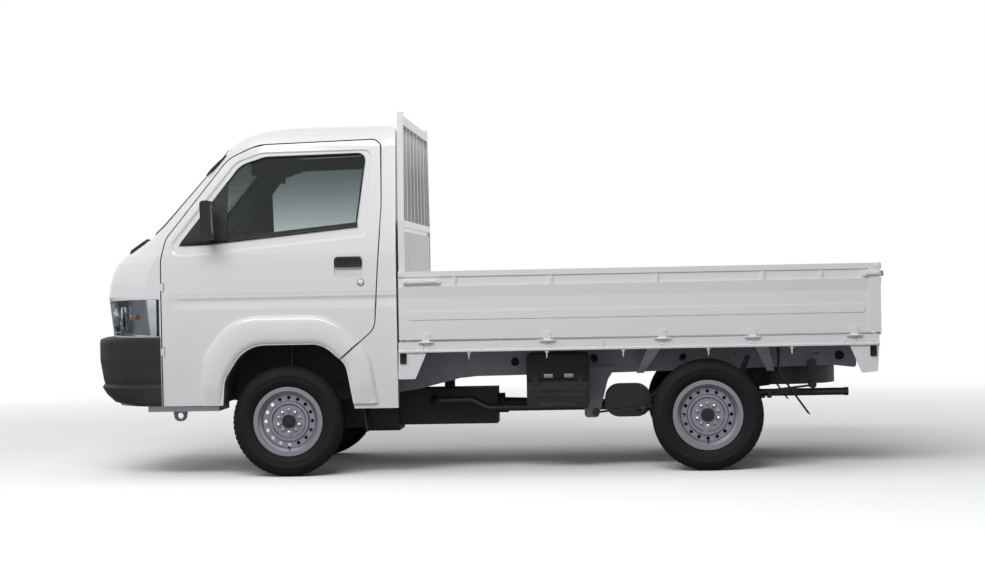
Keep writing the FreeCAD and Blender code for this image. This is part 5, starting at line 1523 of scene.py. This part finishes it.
class TRUCK_OT_wipers(bpy.types.Operator):
    """Parked wipers with pivot caps, and a slim aerial on the pillar"""

    bl_idname = "truck.wipers"
    bl_label = "Wipers and aerial"

    def execute(self, context):
        arms = linked("wiper_arms", NODES["wipers"].data.copy())
        merged(arms)
        pick(arms, "VERT", lambda place, normal: place.z > AERIAL_FOOT)
        bpy.ops.mesh.delete(type="VERT")
        done()
        front = Skin("cab_front", "cab_roof", "cab_glass", "cab_side_left", "door_left")
        foot = front.from_front(-0.716, 1.598) + Vector((-0.020, 0, 0))
        tip = front.from_front(-0.698, 1.706) + Vector((-0.006, 0, 0))
        long = (tip - foot).length
        leaf_rings = [(0.0010, 0.0), (0.0055, long * 0.08), (0.0085, long * 0.30), (0.0080, long * 0.62),
                      (0.0045, long * 0.88), (0.0015, long * 1.02)]
        leaf = lathe("leaf", leaf_rings, foot, tip - foot, 16)
        stalk_top = foot.lerp(tip, 0.55)
        stalk = rod("stalk", [front.from_front(stalk_top.y, stalk_top.z), stalk_top], 0.006)
        cap_rings = [(0.016, -0.004), (0.017, 0.004), (0.014, 0.012), (0.004, 0.015)]
        caps = []
        for y in WIPER_PIVOTS:
            cowl = front.hit((-1.905, y, 1.5), (0, 0, -1))
            caps.append(lathe("cap", cap_rings, cowl + Vector((0.004, 0, 0)), (-0.55, 0, 0.83), 20))
        whole = joined("wipers_dressed", [arms, leaf, stalk] + caps)
        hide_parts("wipers")
        settle(whole, "truck", "plastic")
        return {"FINISHED"}


# Underbody

RAIL_SIDE = -0.440
BATTERY_SIDE = -0.690
SPRING_SIDE = -0.492
PIPE_SIDE = -0.373
LEAF_SPANS = ((0.10, 0.93), (0.17, 0.86), (0.26, 0.78), (0.35, 0.68))
RAIL_HOLES = ((0.157, 0.571, 0.021), (0.583, 0.586, 0.020), (1.062, 0.587, 0.016), (1.893, 0.579, 0.024))
RIVETS = ((0.586, 0.519), (0.596, 0.479), (0.609, 0.454), (0.597, 0.431), (1.340, 0.593), (1.760, 0.590),
          (1.780, 0.590))
BATTERY_ENDS = (0.2345, 0.5495)


def leaf_line(share, drop):
    """Point on the rear spring between its eyes, a distance under its top leaf."""
    front, rear = Vector((0.590, 0, 0.300)), Vector((1.745, 0, 0.428))
    return front.lerp(rear, share) + Vector((0, 0, -drop))


class TRUCK_OT_springs(bpy.types.Operator):
    """Leaves and clips under the rear springs, U bolts on the axle, and dampers"""

    bl_idname = "truck.springs"
    bl_label = "Springs and dampers"

    def execute(self, context):
        leaves = []
        for number, (start, end) in enumerate(LEAF_SPANS):
            a, b = (leaf_line(share, 0.018 + 0.0085 * number) for share in (start, end))
            leaf = block("leaf", (-0.5, -0.030, -0.0037), (0.5, 0.030, 0.0037), 0.0)
            turn = (b - a).to_track_quat("X", "Z").to_matrix().to_4x4()
            stretch = Matrix.Diagonal(((b - a).length, 1, 1, 1))
            leaf.data.transform(Matrix.Translation((a + b) / 2 + Vector((0, SPRING_SIDE, 0))) @ turn @ stretch)
            leaves.append(leaf)
        for share in (0.22, 0.80):
            clip = leaf_line(share, 0.020)
            low, high = clip + Vector((-0.011, -0.525, -0.022)), clip + Vector((0.011, -0.459, 0.020))
            leaves.append(block("clip", low, high, 0.002))
        pair_of("spring_pack", leaves, "truck", "black")
        axle = middle("tyre_rear_left")
        hoops = []
        for x in (axle.x - 0.036, axle.x + 0.036):
            loop = [(-0.528, -0.062), (-0.528, 0.060), (-0.515, 0.074), (-0.469, 0.074), (-0.456, 0.060),
                    (-0.456, -0.062)]
            hoops.append(rod("u_bolt", [(x, y, axle.z + z) for y, z in loop], 0.006))
        low, high = (axle.x - 0.055, -0.545, axle.z - 0.058), (axle.x + 0.055, -0.440, axle.z - 0.046)
        pair_of("u_bolts", hoops + [block("plate", low, high, 0.002)], "truck", "dark")
        foot, top = Vector((axle.x + 0.110, -0.415, 0.300)), Vector((axle.x + 0.240, -0.415, 0.600))
        long = (top - foot).length
        damper_rings = [(0.006, 0.0), (0.024, 0.012), (0.024, long * 0.52), (0.029, long * 0.53),
                        (0.029, long * 0.95), (0.008, long)]
        damper = lathe("damper", damper_rings, foot, top - foot, 20)
        pair(damper, "rear_damper", "truck", "black")
        return {"FINISHED"}


class TRUCK_OT_rail_fittings(bpy.types.Operator):
    """Dark discs painted as the shade inside the frame rails' holes, rivets in the rails, and the brake pipes
    inside them
    """

    bl_idname = "truck.rail_fittings"
    bl_label = "Rail fittings"

    def execute(self, context):
        # Painted shade: dark rubber discs fill the rails' holes, where the inside of the hollow rails is in
        # shade.
        hole_shades = []
        for x, z, wide in RAIL_HOLES:
            rings = [(wide, 0.0), (wide, 0.0022), (wide - 0.003, 0.0030), (wide - 0.005, 0.0014),
                     (0.002, 0.0012)]
            hole_shades.append(lathe("plug", rings, (x, RAIL_SIDE, z), (0, -1, 0), 24))
        pair_of("rail_hole_shades", hole_shades, "truck", "seal")
        rivet_rings = [(0.0055, 0.0), (0.0055, 0.0018), (0.0035, 0.0032), (0.001, 0.0034)]
        rivet = lathe("rivet", rivet_rings, (0, 0, 0), (0, -1, 0), 10)
        copies(rivet, along(*[(x, RAIL_SIDE, z) for x, z in RIVETS]))
        pair(rivet, "rail_rivets", "truck", "dark")
        pipe_path = [(-0.25, 0.480), (0.20, 0.525), (0.75, 0.545), (1.02, 0.545), (1.12, 0.430), (1.16, 0.350)]
        pipe = rod("brake_pipe", [(x, PIPE_SIDE, z) for x, z in pipe_path], 0.0032)
        pair(pipe, "brake_pipe", "truck", "steel")
        return {"FINISHED"}


def on_battery(name, low, high, out, root, bevel, steps=2):
    """Block on the battery box's face, from its root in the face to its outer side."""
    low_corner = (low[0], BATTERY_SIDE - out, low[1])
    return block(name, low_corner, (high[0], BATTERY_SIDE + root, high[1]), bevel, steps)


class TRUCK_OT_battery_cover(bpy.types.Operator):
    """Stepped panels, ribs and windows on the battery box, with a dark strip painted as the shade in the slot
    round the windows
    """

    bl_idname = "truck.battery_cover"
    bl_label = "Battery cover"

    def execute(self, context):
        front, rear = BATTERY_ENDS
        panels = [
            ((front, 0.3330), (rear, 0.4700), 0.0040, 0.003, 0.004, 3),
            ((front - 0.004, 0.4850), (rear + 0.004, 0.6205), 0.0040, 0.003, 0.004, 3),
            ((0.302, 0.4190), (0.490, 0.4470), 0.0075, 0.002, 0.002, 2),
            ((0.304, 0.3350), (0.488, 0.3620), 0.0075, 0.002, 0.002, 2),
            ((front + 0.01, 0.4060), (rear - 0.01, 0.4060 + 0.003), 0.0060, 0.002, 0.001, 2),
            ((front + 0.01, 0.3900), (rear - 0.01, 0.3900 + 0.003), 0.0060, 0.002, 0.001, 2),
        ]
        cover = [on_battery("panel", *panel) for panel in panels]
        one_of("battery_cover", cover, "truck", "plastic")
        # Painted shade: a dark strip stands for the shade in the slot that holds the windows.
        slot = on_battery("battery_slot_shade", (0.311, 0.4870), (0.481, 0.5190), 0.0050, -0.0010, 0.0012)
        settle(slot, "truck", "seal")
        panes = [
            on_battery("pane", (x, 0.4935), (x + 0.048, 0.5145), 0.0062, -0.0045, 0.0008)
            for x in (0.319, 0.427)
        ]
        one_of("battery_windows", panes, "truck", "wheel")
        return {"FINISHED"}


class TRUCK_OT_tank_fittings(bpy.types.Operator):
    """Straps and filler of the fuel tank, and clamps and end lip of the exhaust"""

    bl_idname = "truck.tank_fittings"
    bl_label = "Tank and exhaust fittings"

    def execute(self, context):
        low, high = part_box("fuel_tank")
        straps = []
        for x in (low.x + 0.060, high.x - 0.095):
            outer = (x + 0.035, high.y + 0.0025, high.z)
            straps.append(block("band", (x, high.y - 0.0005, low.z - 0.001), outer, 0.0008))
            under = (x + 0.035, high.y + 0.0025, low.z + 0.0005)
            straps.append(block("band", (x, low.y + 0.02, low.z - 0.0025), under, 0.0008))
        filler_rings = [(0.034, 0.0), (0.034, 0.012), (0.030, 0.016), (0.028, 0.030), (0.004, 0.032)]
        filler = lathe("filler", filler_rings, (low.x + 0.11, high.y - 0.002, high.z - 0.060), (0, 1, 0), 28)
        one_of("tank_straps", straps + [filler], "truck", "dark")
        clamp_rings = [(0.0215, -0.012), (0.0275, -0.012), (0.0275, 0.012), (0.0215, 0.012), (0.0215, -0.012)]
        clamps = [
            lathe("clamp", clamp_rings, place, (1, 0, 0), 20)
            for place in ((0.100, -0.300, 0.320), (1.050, -0.330, 0.420))
        ]
        lip_rings = [(0.0185, 0.0), (0.0225, 0.0), (0.0225, -0.020), (0.0205, -0.022), (0.0185, -0.020),
                     (0.0185, 0.0)]
        end_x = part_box("exhaust")[1].x - 0.001
        lip = lathe("lip", lip_rings, (end_x, -0.330, 0.380), (1, 0, 0), 24)
        one_of("exhaust_clamps", clamps + [lip], "truck", "rust")
        return {"FINISHED"}


# Stage

def panel_light(name, place, aim, size, power):
    light = bpy.data.lights.new(name, "AREA")
    light.shape = "RECTANGLE"
    light.size, light.size_y = size
    light.energy = power
    lamp = linked(name, light)
    lamp.location = place
    lamp.rotation_euler = (Vector(aim) - Vector(place)).to_track_quat("-Z", "Y").to_euler()


CAMERA_PLACE = (0.70698, -12.36842, 1.01839)
CAMERA_TURN = (0.0556, -0.0038, 0.0192)
CAMERA_LENS = 80.91


def photo_camera():
    """Camera at the photograph's place, found from the wheels, the gate and the cab."""
    yaw, pitch, roll = CAMERA_TURN
    right = Vector((math.cos(yaw), math.sin(yaw), 0.0))
    level = Vector((-math.sin(yaw), math.cos(yaw), 0.0))
    ahead = level * math.cos(pitch) + Vector((0, 0, math.sin(pitch)))
    up = Vector((0, 0, math.cos(pitch))) - level * math.sin(pitch)
    turned_right = right * math.cos(roll) - up * math.sin(roll)
    turned_up = up * math.cos(roll) + right * math.sin(roll)
    camera = bpy.data.cameras.new("photo_camera")
    camera.sensor_width = 36.0
    camera.lens = CAMERA_LENS
    camera.clip_end = 200.0
    holder = linked("photo_camera", camera)
    rows = [(turned_right[i], turned_up[i], -ahead[i], CAMERA_PLACE[i]) for i in range(3)]
    holder.matrix_world = Matrix(rows + [(0.0, 0.0, 0.0, 1.0)])
    bpy.context.scene.camera = holder


def white_world(fill):
    """Even light on the truck, and plain white wherever a camera, mirror or pane looks."""
    world = bpy.data.worlds.new("studio")
    bpy.context.scene.world = world
    world.use_nodes = True
    tree = world.node_tree
    tree.nodes.clear()
    path = tree.nodes.new("ShaderNodeLightPath")
    seen = Wire(tree, path.outputs["Is Camera Ray"])
    seen = seen.maths("MAXIMUM", seen, Wire(tree, path.outputs["Is Glossy Ray"]))
    seen = seen.maths("MAXIMUM", seen, Wire(tree, path.outputs["Is Transmission Ray"]))
    sky = tree.nodes.new("ShaderNodeBackground")
    plug(tree, (1.0, 1.0, 1.0, 1.0), sky.inputs["Color"])
    way = tree.nodes.new("ShaderNodeTexCoord")
    parts = tree.nodes.new("ShaderNodeSeparateXYZ")
    tree.links.new(way.outputs["Generated"], parts.inputs["Vector"])
    behind = Wire(tree, parts.outputs["X"])
    above = Wire(tree, parts.outputs["Z"])
    dim = 1.0 - behind.maths("MINIMUM", behind.maths("MAXIMUM", behind * 1.4, 0.0), 1.0) * 0.88
    dim = dim * (1.0 - above.maths("MAXIMUM", above, 0.0) * 0.45)
    level = dim * fill
    plug(tree, level + seen * (1.0 - level), sky.inputs["Strength"])
    output = tree.nodes.new("ShaderNodeOutputWorld")
    tree.links.new(sky.outputs[0], output.inputs["Surface"])


class TRUCK_OT_stage(bpy.types.Operator):
    """Pale floor, soft panels and the camera at the photograph's angle"""

    bl_idname = "truck.stage"
    bl_label = "Studio"

    def execute(self, context):
        studio = context.scene.truck_studio
        bpy.ops.object.select_all(action="DESELECT")
        bpy.ops.mesh.primitive_grid_add(x_subdivisions=4, y_subdivisions=4, size=80.0)
        floor = context.object
        floor.name = "floor"
        f = Finish("studio_floor")
        tone = f.mixed(f.noise(0.6, 2.0), (1.24, 1.245, 1.26, 1.0), (1.28, 1.285, 1.29, 1.0))
        seen = f.node("LightPath", {}, {}, "Is Camera Ray")
        dull = f.node("BsdfDiffuse", {}, {"Color": (0.34, 0.34, 0.36, 1.0)})
        pale = f.node("BsdfDiffuse", {}, {"Color": tone})
        matt = f.node("MixShader", {}, {0: seen, 1: dull, 2: pale})
        glow = f.node("Emission", {}, {"Color": (1.0, 1.0, 1.0, 1.0)})
        away = f.node("VectorMath", {"operation": "LENGTH"}, {0: f.place}, 1)
        far = f.between(away, 3.0, 9.0) * seen
        floor.data.materials.append(f.end(f.node("MixShader", {}, {0: far, 1: matt, 2: glow})))
        panel_light("overhead_panel", (-2.0, -1.2, 5.5), (-1.6, -0.2, 0.5), (4.0, 5.0), studio.key)
        panel_light("camera_panel", (-1.8, -8.0, 6.7), (-0.3, 0.0, 0.6), (7.0, 2.4), studio.front)
        white_world(studio.fill)
        photo_camera()
        context.scene.view_settings.view_transform = "Standard"
        return {"FINISHED"}


class TRUCK_PT_panel(bpy.types.Panel):
    """Steps that dress the truck"""

    bl_label = "Truck"
    bl_idname = "TRUCK_PT_panel"
    bl_space_type = "VIEW_3D"
    bl_region_type = "UI"
    bl_category = "Truck"

    def draw(self, context):
        for step in STEPS:
            self.layout.operator(step.bl_idname)
        for group in (context.scene.truck_colours, context.scene.truck_studio):
            for key in group.bl_rna.properties.keys():
                if key not in ("rna_type", "name"):
                    self.layout.prop(group, key)


STEPS = (
    TRUCK_OT_finishes, TRUCK_OT_wheels, TRUCK_OT_windows, TRUCK_OT_arches, TRUCK_OT_headlamps,
    TRUCK_OT_flares, TRUCK_OT_door_fittings, TRUCK_OT_crease, TRUCK_OT_load_bed, TRUCK_OT_gates,
    TRUCK_OT_tail_lamps, TRUCK_OT_seats, TRUCK_OT_steering_wheel, TRUCK_OT_dash_fittings, TRUCK_OT_controls,
    TRUCK_OT_roof_fittings, TRUCK_OT_door_cards, TRUCK_OT_wipers, TRUCK_OT_springs, TRUCK_OT_rail_fittings,
    TRUCK_OT_battery_cover, TRUCK_OT_tank_fittings, TRUCK_OT_stage,
)
CLASSES = (TruckColours, TruckStudio, TRUCK_PT_panel) + STEPS


def register():
    for cls in CLASSES:
        bpy.utils.register_class(cls)
    bpy.types.Scene.truck_colours = bpy.props.PointerProperty(type=TruckColours)
    bpy.types.Scene.truck_studio = bpy.props.PointerProperty(type=TruckStudio)


def unregister():
    del bpy.types.Scene.truck_studio
    del bpy.types.Scene.truck_colours
    for cls in reversed(CLASSES):
        bpy.utils.unregister_class(cls)


def main():
    register()
    for step in STEPS:
        group, name = step.bl_idname.split(".")
        getattr(getattr(bpy.ops, group), name)()


if __name__ == "__main__":
    main()
